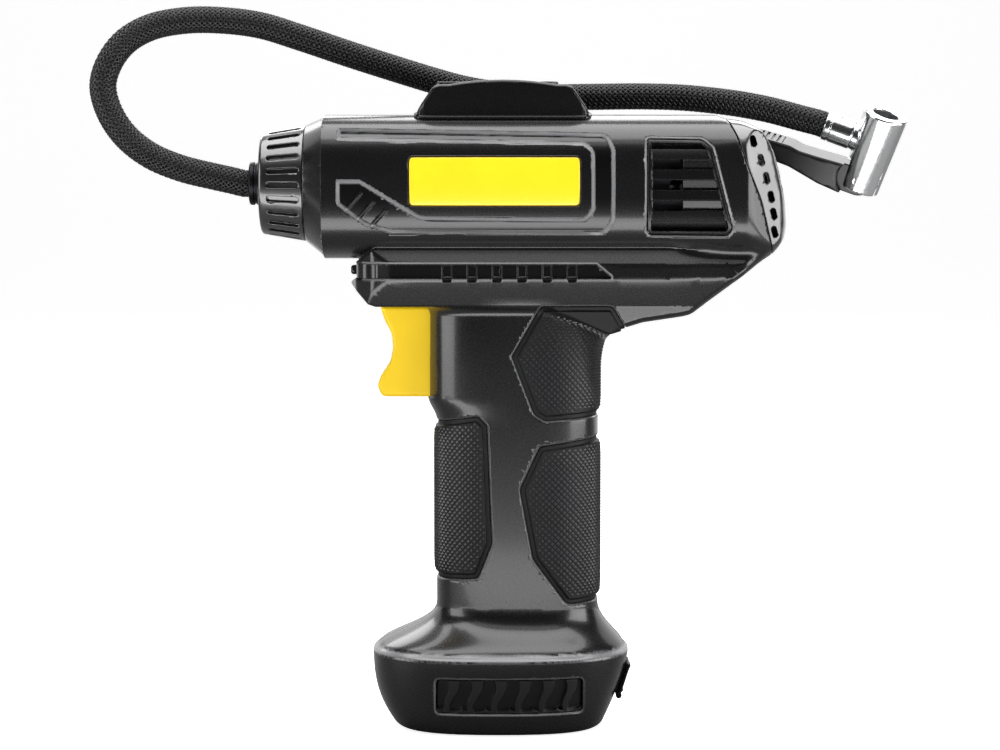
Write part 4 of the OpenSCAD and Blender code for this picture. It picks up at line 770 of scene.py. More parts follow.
def lever(x, y, z):
    """Thumb lever with grooves at its end and a bored tongue that turns in the chuck."""
    pivot = np.hypot(x + 1.2, z - 3.6)
    grip_part = both(less(LEVER(x, z), pivot - 6.45), np.abs(y) - 5, 0.8)
    groove = np.abs((x + 35) % 1.8 - 0.9) - 0.3
    groove = np.maximum(groove, np.maximum(slab(x, -35.6, -27), np.abs(y) - 3.6))
    grip_part = less(grip_part, np.maximum(groove, -0.4 - LEVER(x, z)), 0.1)
    tongue = both(np.minimum(pivot - 5.3, np.maximum(slab(x, -8.5, -1.2), slab(z, -1.7, 7))),
                  np.abs(y) - 3, 0.3)
    return less(np.minimum(grip_part, tongue), pivot - 1.3)


# ------------------------------------------------------------------ repeated shapes


def repeat(name, cell, places, turns, sizes, material):
    """Copies of one small shape at given places, laid out by Geometry Nodes in one plain mesh."""
    tree = bpy.data.node_groups.new(name + "_layout", "GeometryNodeTree")
    sockets = {}
    for label, way, kind in (("Places", "INPUT", "Geometry"), ("Shape", "INPUT", "Object"),
                             ("Overall size", "INPUT", "Float"), ("Finish", "INPUT", "Material"),
                             ("Result", "OUTPUT", "Geometry")):
        sockets[label] = tree.interface.new_socket(label, in_out=way,
                                                   socket_type="NodeSocket" + kind).identifier
    inputs, output, info, turn, size, rotate, times, spread, real, paint = map(tree.nodes.new, (
        "NodeGroupInput", "NodeGroupOutput", "GeometryNodeObjectInfo",
        "GeometryNodeInputNamedAttribute", "GeometryNodeInputNamedAttribute",
        "FunctionNodeEulerToRotation", "ShaderNodeMath", "GeometryNodeInstanceOnPoints",
        "GeometryNodeRealizeInstances", "GeometryNodeSetMaterial"))
    turn.data_type, size.data_type, times.operation = "FLOAT_VECTOR", "FLOAT", "MULTIPLY"
    turn.inputs["Name"].default_value, size.inputs["Name"].default_value = "turn", "size"
    for source, out, target, into in (
            (inputs, "Shape", info, "Object"), (inputs, "Places", spread, "Points"),
            (info, "Geometry", spread, "Instance"), (turn, "Attribute", rotate, "Euler"),
            (rotate, "Rotation", spread, "Rotation"), (size, "Attribute", times, 0),
            (inputs, "Overall size", times, 1), (times, "Value", spread, "Scale"),
            (spread, "Instances", real, "Geometry"), (real, "Geometry", paint, "Geometry"),
            (inputs, "Finish", paint, "Material"), (paint, "Geometry", output, "Result")):
        tree.links.new(source.outputs[out], target.inputs[into])
    points = bpy.data.meshes.new(name + "_places")
    points.from_pydata([tuple(p) for p in places], [], [])
    for layer, kind, key, values in (("turn", "FLOAT_VECTOR", "vector", [tuple(t) for t in turns]),
                                     ("size", "FLOAT", "value", sizes)):
        points.attributes.new(layer, kind, "POINT").data.foreach_set(
            key, np.array(values, np.float32).ravel())
    holder = add(name + "_places", points)
    layout = holder.modifiers.new("Layout", "NODES")
    layout.node_group = tree
    for label, value in (("Shape", cell), ("Overall size", 1.0), ("Finish", material)):
        layout[sockets[label]] = value
    graph = bpy.context.evaluated_depsgraph_get()
    made = bpy.data.meshes.new_from_object(holder.evaluated_get(graph),
                                           preserve_all_data_layers=True, depsgraph=graph)
    made.name = name
    holder.modifiers.clear()
    bpy.data.objects.remove(holder)
    bpy.data.objects.remove(cell)
    return add(name, made)


def stud():
    """Low four-sided stud of the grip's knurling, one millimetre across."""
    mesh = bpy.data.meshes.new("stud")
    points = [(x * half * MM, y * half * MM, z * MM) for half, z in ((0.5, 0), (0.12, 0.5))
              for x, y in CORNERS]
    mesh.from_pydata(points, [], [(3, 2, 1, 0), (4, 5, 6, 7), (0, 1, 5, 4), (1, 2, 6, 5),
                                  (2, 3, 7, 6), (3, 0, 4, 7)])
    return add("stud", mesh)


def lattice(outline, rear, pitch):
    """Stud places over a pad in rows round the grip, the way each faces and how far in it is."""
    step = pitch / math.sqrt(2)
    low, high = outline.low[1] + 4, outline.low[1] + outline.step * outline.count[1] - 4
    places = []
    for row, z in enumerate(np.arange(low, high, step)):
        angle = np.linspace(0, math.pi, 400)
        front, back, half = (float(v[0]) for v in grip_section(np.array([z])))
        c, s = np.cos(angle), np.sin(angle)
        u = np.sign(c) * np.abs(c) ** (2 / GRIP_CURVE)
        v = np.abs(s) ** (2 / GRIP_CURVE)
        x = (front + back) / 2 + (back - front) / 2 * (u if rear else -u)
        y = half * v
        run = np.concatenate([[0], np.cumsum(np.hypot(np.diff(x), np.diff(y)))])
        for side in (1, -1):
            at = np.arange(0 if row % 2 == 0 else step, run[-1] * 0.98, 2 * step)
            if side < 0 and row % 2 == 0:
                at = at[1:]
            places.append(np.stack([np.interp(at, run, x), side * np.interp(at, run, y),
                                    np.full(len(at), z)], 1))
    points = np.concatenate(places)
    edge = outline(points[:, 0], points[:, 2])
    keep = edge < -STUD_BORDER
    points, edge = points[keep], edge[keep]

    def face(x, y, z):
        return hand_surface(x, y, z) - 0.36

    for _ in range(5):
        points = towards(face, points, evaluate(face, points), 2)
    keep = outline(points[:, 0], points[:, 2]) < -2.0
    return points[keep], facing(face, points)[keep], -edge[keep]


def knurl(name, outline, rear, pitch, material):
    """Field of small studs that cover a grip pad in diagonal rows, lower towards its border."""
    places, normals, inward = lattice(outline, rear, pitch)
    turns = []
    for n in normals:
        n = Vector(n)
        across = Vector((0, 0, 1)).cross(n).normalized()
        axes = Matrix((across, n.cross(across), n)).transposed()
        turns.append((axes @ Matrix.Rotation(math.radians(45), 3, "Z")).to_euler())
    sizes = pitch * 0.8 * (0.7 + 0.3 * unit((inward - STUD_BORDER) / 3.5))
    return repeat(name, stud(), places * MM, turns, sizes, material)


# ------------------------------------------------------------------ finishes


class Look:
    """Material in the making, with its shader's sockets and what its nodes have in common."""

    def __init__(self, name, **values):
        self.material = bpy.data.materials.new(name)
        self.material.use_nodes = True
        self.nodes, self.link = self.material.node_tree.nodes, self.material.node_tree.links.new
        self.shader = self.nodes["Principled BSDF"].inputs
        self.place = self.node("ShaderNodeTexCoord").outputs["Object"]
        for key, value in values.items():
            self.shader[key.replace("_", " ")].default_value = value

    def node(self, kind, **settings):
        """New node with its settings; one that starts with in_ is the value of a socket."""
        made = self.nodes.new(kind)
        for key, value in settings.items():
            if key.startswith("in_"):
                made.inputs[key[3:].replace("_", " ")].default_value = value
            else:
                setattr(made, key, value)
        return made

    def noise(self, scale, detail, source=None):
        texture = self.node("ShaderNodeTexNoise", in_Scale=scale, in_Detail=detail)
        self.link(self.place if source is None else source, texture.inputs["Vector"])
        return texture.outputs["Fac"]

    def stretched(self, source, scale):
        mapping = self.node("ShaderNodeMapping", in_Scale=scale)
        self.link(source, mapping.inputs["Vector"])
        return mapping.outputs["Vector"]

    def tone(self, source, low, high, target):
        """Turns a grey texture into a colour or a number between two ends."""
        ramp = self.node("ShaderNodeValToRGB")
        for stop, position, value in zip(ramp.color_ramp.elements, (0.3, 0.7), (low, high)):
            value = value if hasattr(value, "__len__") else (value, value, value)
            stop.position, stop.color = position, (*value[:3], 1)
        self.link(source, ramp.inputs["Fac"])
        self.link(ramp.outputs["Color"], target)

    def surface(self, source, low, high, rough, rougher):
        """Lets a texture vary the colour and the roughness."""
        self.tone(source, low, high, self.shader["Base Color"])
        self.tone(source, rough, rougher, self.shader["Roughness"])

    def where(self, layer, colour, target):
        """Shows a colour where a layer of the mesh is one and gives the socket for elsewhere."""
        mix = self.node("ShaderNodeMix", data_type="RGBA")
        self.link(self.node("ShaderNodeAttribute", attribute_name=layer).outputs["Fac"],
                  mix.inputs[0])
        mix.inputs[7].default_value = (*colour, 1)
        self.link(mix.outputs[2], target)
        return mix.inputs[6]

    def relief(self, source, depth):
        bump = self.node("ShaderNodeBump", in_Strength=1.0, in_Distance=depth * MM)
        self.link(source, bump.inputs["Height"])
        self.link(bump.outputs["Normal"], self.shader["Normal"])


# lighter grey painted on each lip as a highlight
LIP_HIGHLIGHT = (0.2, 0.2, 0.206)


def scaled(colour, factor):
    return [min(1, c * factor) for c in colour]


def moulded(name, colour, rough, grain=0.03, cell=0.35, mottle=0.12, coat=0.0, gloss=0.5):
    """Plastic or rubber with a fine grain, with painted shade darkening its recesses and a painted
    highlight, lighter grey, on each lip.
    """
    look = Look(name, Coat_Weight=coat, Coat_Roughness=0.1, Specular_IOR_Level=gloss)
    fine, broad = look.noise(1000 / cell, 3.0), look.noise(90.0, 4.0)
    # painted highlight: lighter grey where the lip layer is one
    unhighlighted = look.where("lip", LIP_HIGHLIGHT, look.shader["Base Color"])
    # painted shade: the recesses take three tenths of the colour
    look.tone(broad, scaled(colour, 1 - mottle), scaled(colour, 1 + mottle),
              look.where("recess", scaled(colour, 0.3), unhighlighted))
    look.tone(fine, rough - 0.02, rough + 0.03,
              look.where("recess", [rough] * 3, look.shader["Roughness"]))
    look.relief(fine, grain)
    return look.material


def bright_metal(name, colour, rough, streak=(400, 400, 400), depth=0.004):
    """Plated or machined metal with faint polishing streaks."""
    look = Look(name, Metallic=1.0)
    lines = look.noise(4.0, 5.0, look.stretched(look.place, streak))
    look.surface(lines, scaled(colour, 0.93), colour, max(rough - 0.03, 0.03), rough + 0.05)
    look.relief(lines, depth)
    return look.material


def smoked_plastic(name, colour, rough):
    look = Look(name, IOR=1.49)
    look.surface(look.noise(600.0, 3.0), scaled(colour, 0.94), colour, rough, rough + 0.04)
    return look.material


def circuit_board(name, colour, rough):
    """Solder resist with traces that show through it."""
    look = Look(name, Roughness=rough)
    traces = look.node("ShaderNodeTexBrick", in_Scale=300.0, in_Mortar_Size=0.03,
                       in_Color1=(*scaled(colour, 0.8), 1), in_Color2=(*colour, 1),
                       in_Mortar=(*scaled(colour, 2.2), 1))
    look.link(look.place, traces.inputs["Vector"])
    look.link(traces.outputs["Color"], look.shader["Base Color"])
    look.relief(traces.outputs["Fac"], 0.03)
    return look.material


def braided_yarn(name, colour, rough):
    """Glossy black yarn whose fibres run along each strand, by the strand's own UV map."""
    look = Look(name, Specular_IOR_Level=0.4)
    along = look.node("ShaderNodeUVMap", uv_map="Strand").outputs["UV"]
    fibres = look.noise(1.0, 4.0, look.stretched(along, (9, 1.2, 1)))
    look.surface(fibres, scaled(colour, 0.4), scaled(colour, 2.2), rough, rough + 0.18)
    look.relief(fibres, 0.02)
    return look.material


def record_colour(slot):
    for row in frame["record"]["materials"]:
        if row["slot"] == slot:
            return tuple(row["base_color"])
    raise KeyError(slot)


FINISHES = {}


def finish(slot):
    """Material of one slot of the record or of one of the scene's own finishes, made once."""
    if slot in FINISHES:
        return FINISHES[slot]
    look = bpy.context.scene.inflator_look
    black, rough, grain = tuple(look.housing), look.housing_roughness, look.grain
    trim, paler = scaled(black, 0.8), scaled(black, 4)
    # maker, name, colour (None is the record's) and roughness, then grain, its cell, mottle, coat
    # and gloss for a moulding, or the streaks' scale and their depth for a metal
    rows = {
        "shell": (moulded, "satin_black_housing", black, rough, grain, 0.35, 0.12, 0.35),
        "ribs": (moulded, "black_ribs", paler, 0.35, grain),
        "polished": (moulded, "polished_black_trim", trim, 0.3, grain, 0.35, 0.12, 1.0, 1.0),
        "black_trim": (moulded, "satin_black_trim", trim, rough, grain),
        "yellow_panel": (moulded, "gloss_yellow", tuple(look.panel), 0.25, 0.002, 0.6, 0.03, 0.3),
        "yellow_trigger": (moulded, "satin_yellow", tuple(look.trigger), 0.45, 0.002, 0.4, 0.03,
                           0.0, 0.3),
        "rubber": (moulded, "grip_rubber", trim, 0.5, 0.002, 0.25, 0.15, 0.0, 0.25),
        "studs": (moulded, "knurled_rubber", paler, 0.3, 0.001, 0.25, 0.1, 0.0, 0.8),
        "seals": (moulded, "seal_rubber", None, 0.45, 0.01),
        "hose_braid": (braided_yarn, "braided_yarn", (0.005, 0.005, 0.0055), 0.22),
        "chrome": (bright_metal, "polished_chrome", tuple(look.chrome), 0.17, (150, 150, 900),
                   0.0004),
        "steel": (bright_metal, "zinc_plated_steel", None, 0.28, (900, 300, 900)),
        "black_steel": (bright_metal, "black_oxide_steel", (0.02, 0.02, 0.022), 0.4),
        "lever_plastic": (moulded, "satin_black_lever", black, 0.3, 0.002),
        "window": (smoked_plastic, "smoked_acrylic", None, 0.05),
        "lcd": (moulded, "display_glass", None, 0.15, 0.002, 0.5),
        "buttons": (moulded, "silicone_keys", None, 0.5, 0.005, 0.2),
        "board": (circuit_board, "solder_resist", None, 0.3),
        "lens": (smoked_plastic, "smoked_lens", (0.015, 0.015, 0.017), 0.06),
        "switch": (moulded, "black_nylon", None, 0.42, 0.02),
        "fan": (moulded, "fan_nylon", None, 0.38, 0.02),
        "gear": (moulded, "glass_filled_nylon", None, 0.4, 0.02, 0.3, 0.06),
        # dark alloy colour, darker than bare alloy so that it paints the shade seen through the
        # vent openings
        "cast": (bright_metal, "die_cast_alloy", (0.05, 0.05, 0.055), 0.5, (500, 500, 500), 0.02),
        "cells": (moulded, "shrink_sleeve", None, 0.25, 0.006, 0.8, 0.06, 0.3),
        "tabs": (bright_metal, "nickel_plate", None, 0.22, (900, 400, 400)),
        "tube": (moulded, "silicone_tube", None, 0.35, 0.005, 0.5, 0.05),
    }
    maker, name, colour, *settings = rows[slot]
    FINISHES[slot] = maker(name, colour or record_colour(slot), *settings)
    return FINISHES[slot]


def dress(obj, slot, rides, node):
    """Gives a piece its finish, sets what it rides on and hides the node it stands for."""
    if not obj.data.materials:
        obj.data.materials.append(finish(slot))
    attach(obj, rides)
    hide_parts(node)
    return obj


def make(name, slot, shape, low, high, node, grade=1.0, rides="housing", place=None):
    """Carves a piece on the common grid times its grade, in its place, and dresses it."""
    grid = bpy.context.scene.inflator_look.fineness * grade
    return dress(carve(name, shape, low, high, grid, place), slot, rides, node)


# ------------------------------------------------------------------ hose
HOSE = [(-75.72, 0, 164), (-77.22, 0, 164), (-81, 0, 164.9), (-86, 0, 166), (-96.5, 0, 168.6),
        (-106, 1, 172.6), (-113.5, 2, 178.5), (-118.4, 3, 185.9), (-120.3, 4, 193.5),
        (-118.5, 5, 200.3), (-113.9, 7, 206.8), (-106.5, 9, 211.3), (-96.2, 11, 213.5),
        (-85.7, 13, 213.7), (-73.7, 15, 212.3), (-61.6, 17, 208.7), (-46.5, 19.5, 203.7),
        (-31.2, 21.5, 198.9), (-21.6, 22.4, 196), (-12.4, 23, 193.5), (-2.8, 23.2, 191.8),
        (5.9, 23.2, 191.1), (16.1, 23.2, 190.7), (27.6, 23.4, 190.8), (43.1, 24.6, 191),
        (55.6, 25.8, 190.7), (65, 26.7, 189.9), (74.4, 27.4, 188.7), (83.8, 27.6, 186.9),
        (93, 27, 184.4)]


TUBE_SIDES, TUBE_DEPTH = 24, 0.55
STRAND_DEPTH, STRAND_WIDTH, BRAID_LIFT = 0.26, 0.9506, 0.13
STRAND = ((-1, -0.14), (0, 0.1), (1, -0.14))  # a strand's section: half widths across and rise


def smooth_route(points, step):
    """Even points along a smooth curve through the route's points."""
    points = np.array(points, float)
    ends = np.vstack([2 * points[0] - points[1], points, 2 * points[-1] - points[-2]])
    fine = []
    for a, b, c, d in zip(ends, ends[1:], ends[2:], ends[3:]):
        ab, bc, cd = (max(np.linalg.norm(q - p), 1e-6) ** 0.5 for p, q in ((a, b), (b, c), (c, d)))
        m1 = (c - b) + bc * ((b - a) / ab - (c - a) / (ab + bc))
        m2 = (c - b) + bc * ((d - c) / cd - (d - b) / (bc + cd))
        for t in np.linspace(0, 1, 40, endpoint=False):
            fine.append((2 * t ** 3 - 3 * t ** 2 + 1) * b + (t ** 3 - 2 * t ** 2 + t) * m1
                        + (-2 * t ** 3 + 3 * t ** 2) * c + (t ** 3 - t ** 2) * m2)
    fine = np.array(fine + [points[-1]])
    run = np.concatenate([[0], np.cumsum(np.linalg.norm(np.diff(fine, axis=0), axis=1))])
    at = np.linspace(0, run[-1], int(run[-1] / step) + 1)
    return np.stack([np.interp(at, run, fine[:, k]) for k in range(3)], 1), at


def sleeve_frames(route):
    """Two cross directions at each point of a route, carried along without twist."""
    ahead = np.gradient(route, axis=0)
    ahead /= np.linalg.norm(ahead, axis=1)[:, None]
    side = np.cross(ahead[0], (0, 1, 0))
    sides = []
    for direction in ahead:
        side = side - direction * (side @ direction)
        side = side / np.linalg.norm(side)
        sides.append(side)
    sides = np.array(sides)
    return sides, np.cross(ahead, sides)


def braid(name, route, run, strands, radius):
    """Rubber tube under two sets of strands that wind both ways, each over and under the other."""
    u, v = sleeve_frames(route)
    stack, faces, uvs = [], [], []

    def around(angle, distance):
        """The route moved out by a distance at an angle, both of which may change along it."""
        angle, distance = (np.broadcast_to(q, run.shape)[:, None] for q in (angle, distance))
        return route + distance * (np.cos(angle) * u + np.sin(angle) * v)

    def skin(lines, columns):
        """Closed skin over lines along the route, with its two ends and its UV map."""
        start, n = sum(map(len, stack)), len(columns)
        stack.append(np.stack(lines, 1).reshape(-1, 3))
        for i in range(len(run) - 1):
            for k, (low, high) in enumerate(columns):
                a, b = start + i * n + k, start + i * n + (k + 1) % n
                faces.append((a, b, b + n, a + n))
                uvs.extend([(low, run[i]), (high, run[i]), (high, run[i + 1]), (low, run[i + 1])])
        for i in (0, len(run) - 1):
            faces.append([start + i * n + k for k in range(n)])
            uvs.extend([(0, 0)] * n)

    skin([around(2 * math.pi * k / TUBE_SIDES, radius - TUBE_DEPTH) for k in range(TUBE_SIDES)],
         [(k / 6, (k + 1) / 6) for k in range(TUBE_SIDES)])
    wind = run / radius
    weave = BRAID_LIFT * np.cos(strands * wind)
    half = STRAND_WIDTH * math.pi / strands
    for way in (1, -1):
        for k in range(strands):
            angle = way * wind + 2 * math.pi * k / strands
            level = radius - STRAND_DEPTH + way * weave
            skin([around(angle + way * half * shift, level + rise) for shift, rise in STRAND],
                 [(0, 0.5), (0.5, 1), (1, 0)])
    mesh = bpy.data.meshes.new(name)
    mesh.from_pydata((np.concatenate(stack) * MM).tolist(), [], faces)
    layer = mesh.uv_layers.new(name="Strand")
    layer.data.foreach_set("uv", np.array(uvs, np.float32).ravel())
    mesh.polygons.foreach_set("use_smooth", [True] * len(faces))
    mesh.update()
    shell = bmesh.new()
    shell.from_mesh(mesh)
    bmesh.ops.recalc_face_normals(shell, faces=shell.faces)
    shell.to_mesh(mesh)
    shell.free()
    return add(name, mesh)


# ------------------------------------------------------------------ settings


class InflatorLook(bpy.types.PropertyGroup):
    """Colours, finishes and fineness of the inflator."""

    housing: bpy.props.FloatVectorProperty(
        name="Housing", description="Colour of the moulded housing and black trim", subtype="COLOR",
        min=0, max=1, default=(0.0045, 0.0045, 0.005))
    panel: bpy.props.FloatVectorProperty(
        name="Side panels", description="Colour of the bright side panels", subtype="COLOR",
        min=0, max=1, default=(0.94, 0.66, 0.016))
    trigger: bpy.props.FloatVectorProperty(
        name="Trigger", description="Colour of the trigger", subtype="COLOR",
        min=0, max=1, default=(0.94, 0.63, 0.014))
    chrome: bpy.props.FloatVectorProperty(
        name="Chuck", description="Colour of the plated chuck and ferrule", subtype="COLOR",
        min=0, max=1, default=record_colour("chrome"))
    housing_roughness: bpy.props.FloatProperty(
        name="Housing roughness", description="Roughness of the moulded housing", subtype="FACTOR",
        min=0.1, max=0.9, default=0.26)
    grain: bpy.props.FloatProperty(
        name="Grain depth", description="Depth of the moulded grain, in millimetres",
        min=0, max=0.1, default=0.0008)
    fineness: bpy.props.FloatProperty(
        name="Fineness", description="Grid on which the moulded pieces are carved, in millimetres",
        min=0.2, max=1.0, default=0.35)


class InflatorParts(bpy.types.PropertyGroup):
    """Counts and sizes of the repeated details."""

    knurl_pitch: bpy.props.FloatProperty(
        name="Knurl pitch", min=0.9, max=2.5, default=1.3,
        description="Distance between the diagonal rows of studs, in millimetres")
    hose_diameter: bpy.props.FloatProperty(
        name="Hose diameter", description="Outer diameter of the braided hose", subtype="DISTANCE",
        unit="LENGTH", min=0.006, max=0.012, default=2 * HOSE_R * MM)
    hose_strands: bpy.props.IntProperty(
        name="Hose strands", description="Strands of the hose's braid that wind each way",
        min=8, max=24, default=16)


# ------------------------------------------------------------------ operators


AIM, REACH, RISE, LENS, SENSOR = Vector((-0.0003, 0, 0.1061)), 0.8, 4, 95.04, 36
FLOOR_Z, FLOOR_FRONT, FLOOR_REAR, FLOOR_HALF = -0.0003, -2.4, 0.7, 3.6
WALL_Y, WALL_BEND, WALL_TOP = 2.2, 0.5, 3.2
# name, place, aim, width and height in metres, and power in watts
LAMPS = [
    ("overhead", (0, -0.01, 1.0), (0, -0.01, 0.14), (1.3, 0.92), 17),
    ("floor_panel", (0, -0.24, 0.012), (0, -0.24, 1.0), (1.0, 0.2), 2.9),
    ("left_panel", (-0.95, -0.3, 0.3), (0, 0, 0.12), (0.6, 0.7), 5),
    ("right_panel", (0.95, -0.3, 0.3), (0, 0, 0.12), (0.75, 0.7), 8),
    ("high_front", (0, -1.0, 1.5), (0, 0, 0.12), (1.6, 0.3), 2),
    ("rear_panel", (0, 1.0, 0.75), (0, 0, 0.12), (1.4, 0.5), 7),
]
ROOM = (0.03, 1.0)  # the room's light on the object and to the camera
FLOOR_GLOW, FLOOR_BOUNCE = 0.85, (0.15, 0.15, 0.15)


class INFLATOR_OT_stage(bpy.types.Operator):
    """Set up the camera, the pale floor and backdrop, and the soft lamps"""

    bl_idname = "inflator.stage"
    bl_label = "Camera, floor and lamps"

    def execute(self, context):
        scene = context.scene
        scene.view_settings.view_transform = "Standard"
        rise = math.radians(RISE)
        camera = bpy.data.objects.new("camera", bpy.data.cameras.new("camera"))
        camera.data.lens, camera.data.sensor_width = LENS, SENSOR
        camera.location = AIM + REACH * Vector((0, -math.cos(rise), math.sin(rise)))
        camera.rotation_euler = (math.radians(90) - rise, 0, 0)
        scene.collection.objects.link(camera)
        scene.camera = camera
        sweep = [(FLOOR_FRONT, 0.0), (FLOOR_REAR, 0.0)] + [
            (WALL_Y + WALL_BEND * math.sin(a), WALL_BEND - WALL_BEND * math.cos(a))
            for a in np.linspace(0, math.pi / 2, 13)] + [(WALL_Y + WALL_BEND, WALL_TOP)]
        mesh = bpy.data.meshes.new("backdrop")
        mesh.from_pydata([(x, y, z + FLOOR_Z) for y, z in sweep for x in (-FLOOR_HALF, FLOOR_HALF)],
                         [], [(2 * k, 2 * k + 1, 2 * k + 3, 2 * k + 2)
                              for k in range(len(sweep) - 1)])
        mesh.polygons.foreach_set("use_smooth", [True] * len(mesh.polygons))
        floor = add("backdrop", mesh)
        mesh.materials.append(self.paper("pale_floor", False))
        mesh.materials.append(self.paper("pale_backdrop", True))
        for face in mesh.polygons:
            face.material_index = int(face.center.y > FLOOR_REAR)
        for name, at, to, size, power in LAMPS:
            lamp = bpy.data.lights.new(name, "AREA")
            lamp.shape, lamp.size, lamp.size_y, lamp.energy = "RECTANGLE", *size, power
            obj = bpy.data.objects.new(name, lamp)
            obj.location = at
            obj.rotation_euler = (Vector(to) - Vector(at)).to_track_quat("-Z", "Y").to_euler()
            scene.collection.objects.link(obj)
        world = bpy.data.worlds.new("room")
        world.use_nodes = True
        scene.world = world
        nodes, link = world.node_tree.nodes, world.node_tree.links.new
        path, mix = nodes.new("ShaderNodeLightPath"), nodes.new("ShaderNodeMix")
        mix.data_type = "FLOAT"
        mix.inputs[2].default_value, mix.inputs[3].default_value = ROOM
        link(path.outputs["Is Camera Ray"], mix.inputs[0])
        link(mix.outputs[0], nodes["Background"].inputs["Strength"])
        nodes["Background"].inputs["Color"].default_value = (1, 1, 1, 1)
        return {"FINISHED"}

    @staticmethod
    def paper(name, mirrored):
        """Pale paper that glows to the camera, and on the backdrop to reflections too."""
        look = Look(name, Roughness=0.6)
        path, glow, total = map(look.node, ("ShaderNodeLightPath", "ShaderNodeEmission",
                                            "ShaderNodeAddShader"))
        shade = look.node("ShaderNodeMix", data_type="RGBA")
        shade.inputs[6].default_value = (*FLOOR_BOUNCE, 1)
        look.tone(look.noise(300.0, 3.0), 0.80, 0.84, shade.inputs[7])
        seen = path.outputs["Is Camera Ray"]
        look.link(seen, shade.inputs[0])
        look.link(shade.outputs[2], look.shader["Base Color"])
        for ray in ("Is Transmission Ray", "Is Glossy Ray")[:1 + mirrored]:
            higher = look.node("ShaderNodeMath", operation="MAXIMUM")
            look.link(seen, higher.inputs[0])
            look.link(path.outputs[ray], higher.inputs[1])
            seen = higher.outputs["Value"]
        level = look.node("ShaderNodeMath", operation="MULTIPLY")
        level.inputs[1].default_value = FLOOR_GLOW
        look.link(seen, level.inputs[0])
        look.link(level.outputs["Value"], glow.inputs["Strength"])
        look.link(look.nodes["Principled BSDF"].outputs["BSDF"], total.inputs[0])
        look.link(glow.outputs["Emission"], total.inputs[1])
        look.link(total.outputs["Shader"], look.nodes["Material Output"].inputs["Surface"])
        return look.material


class INFLATOR_OT_hose(bpy.types.Operator):
    """Make the braided hose with its gland, ferrule, chuck and lever"""

    bl_idname = "inflator.hose"
    bl_label = "Hose and chuck"

    def execute(self, context):
        parts = context.scene.inflator_parts
        radius = parts.hose_diameter / MM / 2
        chuck_dir = CHUCK_PLACE.to_3x3() @ Vector((1, 0, 0))
        finish_at = CHUCK_PLACE @ Vector((-CHUCK_R - FERRULE_L - 0.52, 0, FERRULE_Z))
        points = HOSE + [tuple(finish_at - 2 * chuck_dir), tuple(finish_at)]
        route, run = smooth_route(points, 0.46)
        hose = braid("hose_braid", route, run, parts.hose_strands, radius)
        dress(hose, "hose_braid", "housing", "hose")
        make("hose_gland_ring", "black_steel", gland, (-77, -8, 156), (-57, 8, 172),
             "hose_gland", 0.6)
        sleeve = make("ferrule_sleeve", "chrome", ferrule, (-18, -6, 10), (-7, 6, 21),
                      "hose_ferrule", 0.45, place=CHUCK_PLACE)
        head = make("chuck_head", "chrome", chuck, (-9, -9, -1), (9, 9, 27), "chuck_body", 0.5,
                    place=CHUCK_PLACE)
        thumb = make("thumb_lever", "lever_plastic", lever, (-39, -6, -4), (6, 6, 10),
                     "chuck_lever", 0.5, "chuck_lever", CHUCK_PLACE)
        return {"FINISHED"}


class INFLATOR_OT_housing(bpy.types.Operator):
    """Make the two halves of the moulded housing and the tail cap"""

    bl_idname = "inflator.housing"
    bl_label = "Housing and tail cap"

    def execute(self, context):
        for side, word in SIDES:
            near, far = sorted((-1.5 * side, 30.5 * side))
            half = make(f"housing_half_{word}", "shell", housing(side), (-61, near, -2),
                        (88, far, 187), f"housing_{word}", 1.06 if side < 0 else 1.14)
            # painted shade on the floors of the channel and the rail
            mark(half, painted_shade_floors, "recess")
            # painted highlight on the bevels' lip and the foot's rim
            mark(half, lip_highlights, "lip")
        cap = make("tail_cap", "black_trim", tail_cap, (60, -30, 138), (88, 30, 187), "rear_cap",
                   0.68)
        cap.data.materials[0] = finish("polished")
        return {"FINISHED"}


class INFLATOR_OT_trim(bpy.types.Operator):
    """Make the side panels, vent grilles, foot inserts, nose collar and lamp lens"""

    bl_idname = "inflator.trim"
    bl_label = "Barrel and foot trim"

    def execute(self, context):
        for side, word in SIDES:
            near, far = sorted((14 * side, 30 * side))
            make(f"panel_{word}", "yellow_panel", panel(side), (-28, near, 156), (24, far, 173),
                 f"side_panel_{word}", 0.7)
            make(f"louvres_{word}", "black_trim", grille(side), (40, near, 146), (70, far, 180),
                 f"vent_grille_{word}", 0.7)
            ribs = make(f"foot_ribs_{word}", "black_trim", foot_insert(side), (-21, near - 3, 5),
                        (27, far + 3, 20), f"base_insert_{word}", 0.6)
            ribs.data.materials[0] = finish("ribs")
            # painted shade in the bays between the ribs
            mark(ribs, painted_shade_between_ribs, "recess")
        ring = make("collar", "black_trim", collar, (-74, -19, 145), (-52, 19, 183), "nose_collar",
                    0.6)
        ring.data.materials[0] = finish("polished")
        make("lamp_window", "lens", lamp_lens, (-48, -6, 135), (-38, 6, 141), "led_lens", 0.5)
        return {"FINISHED"}


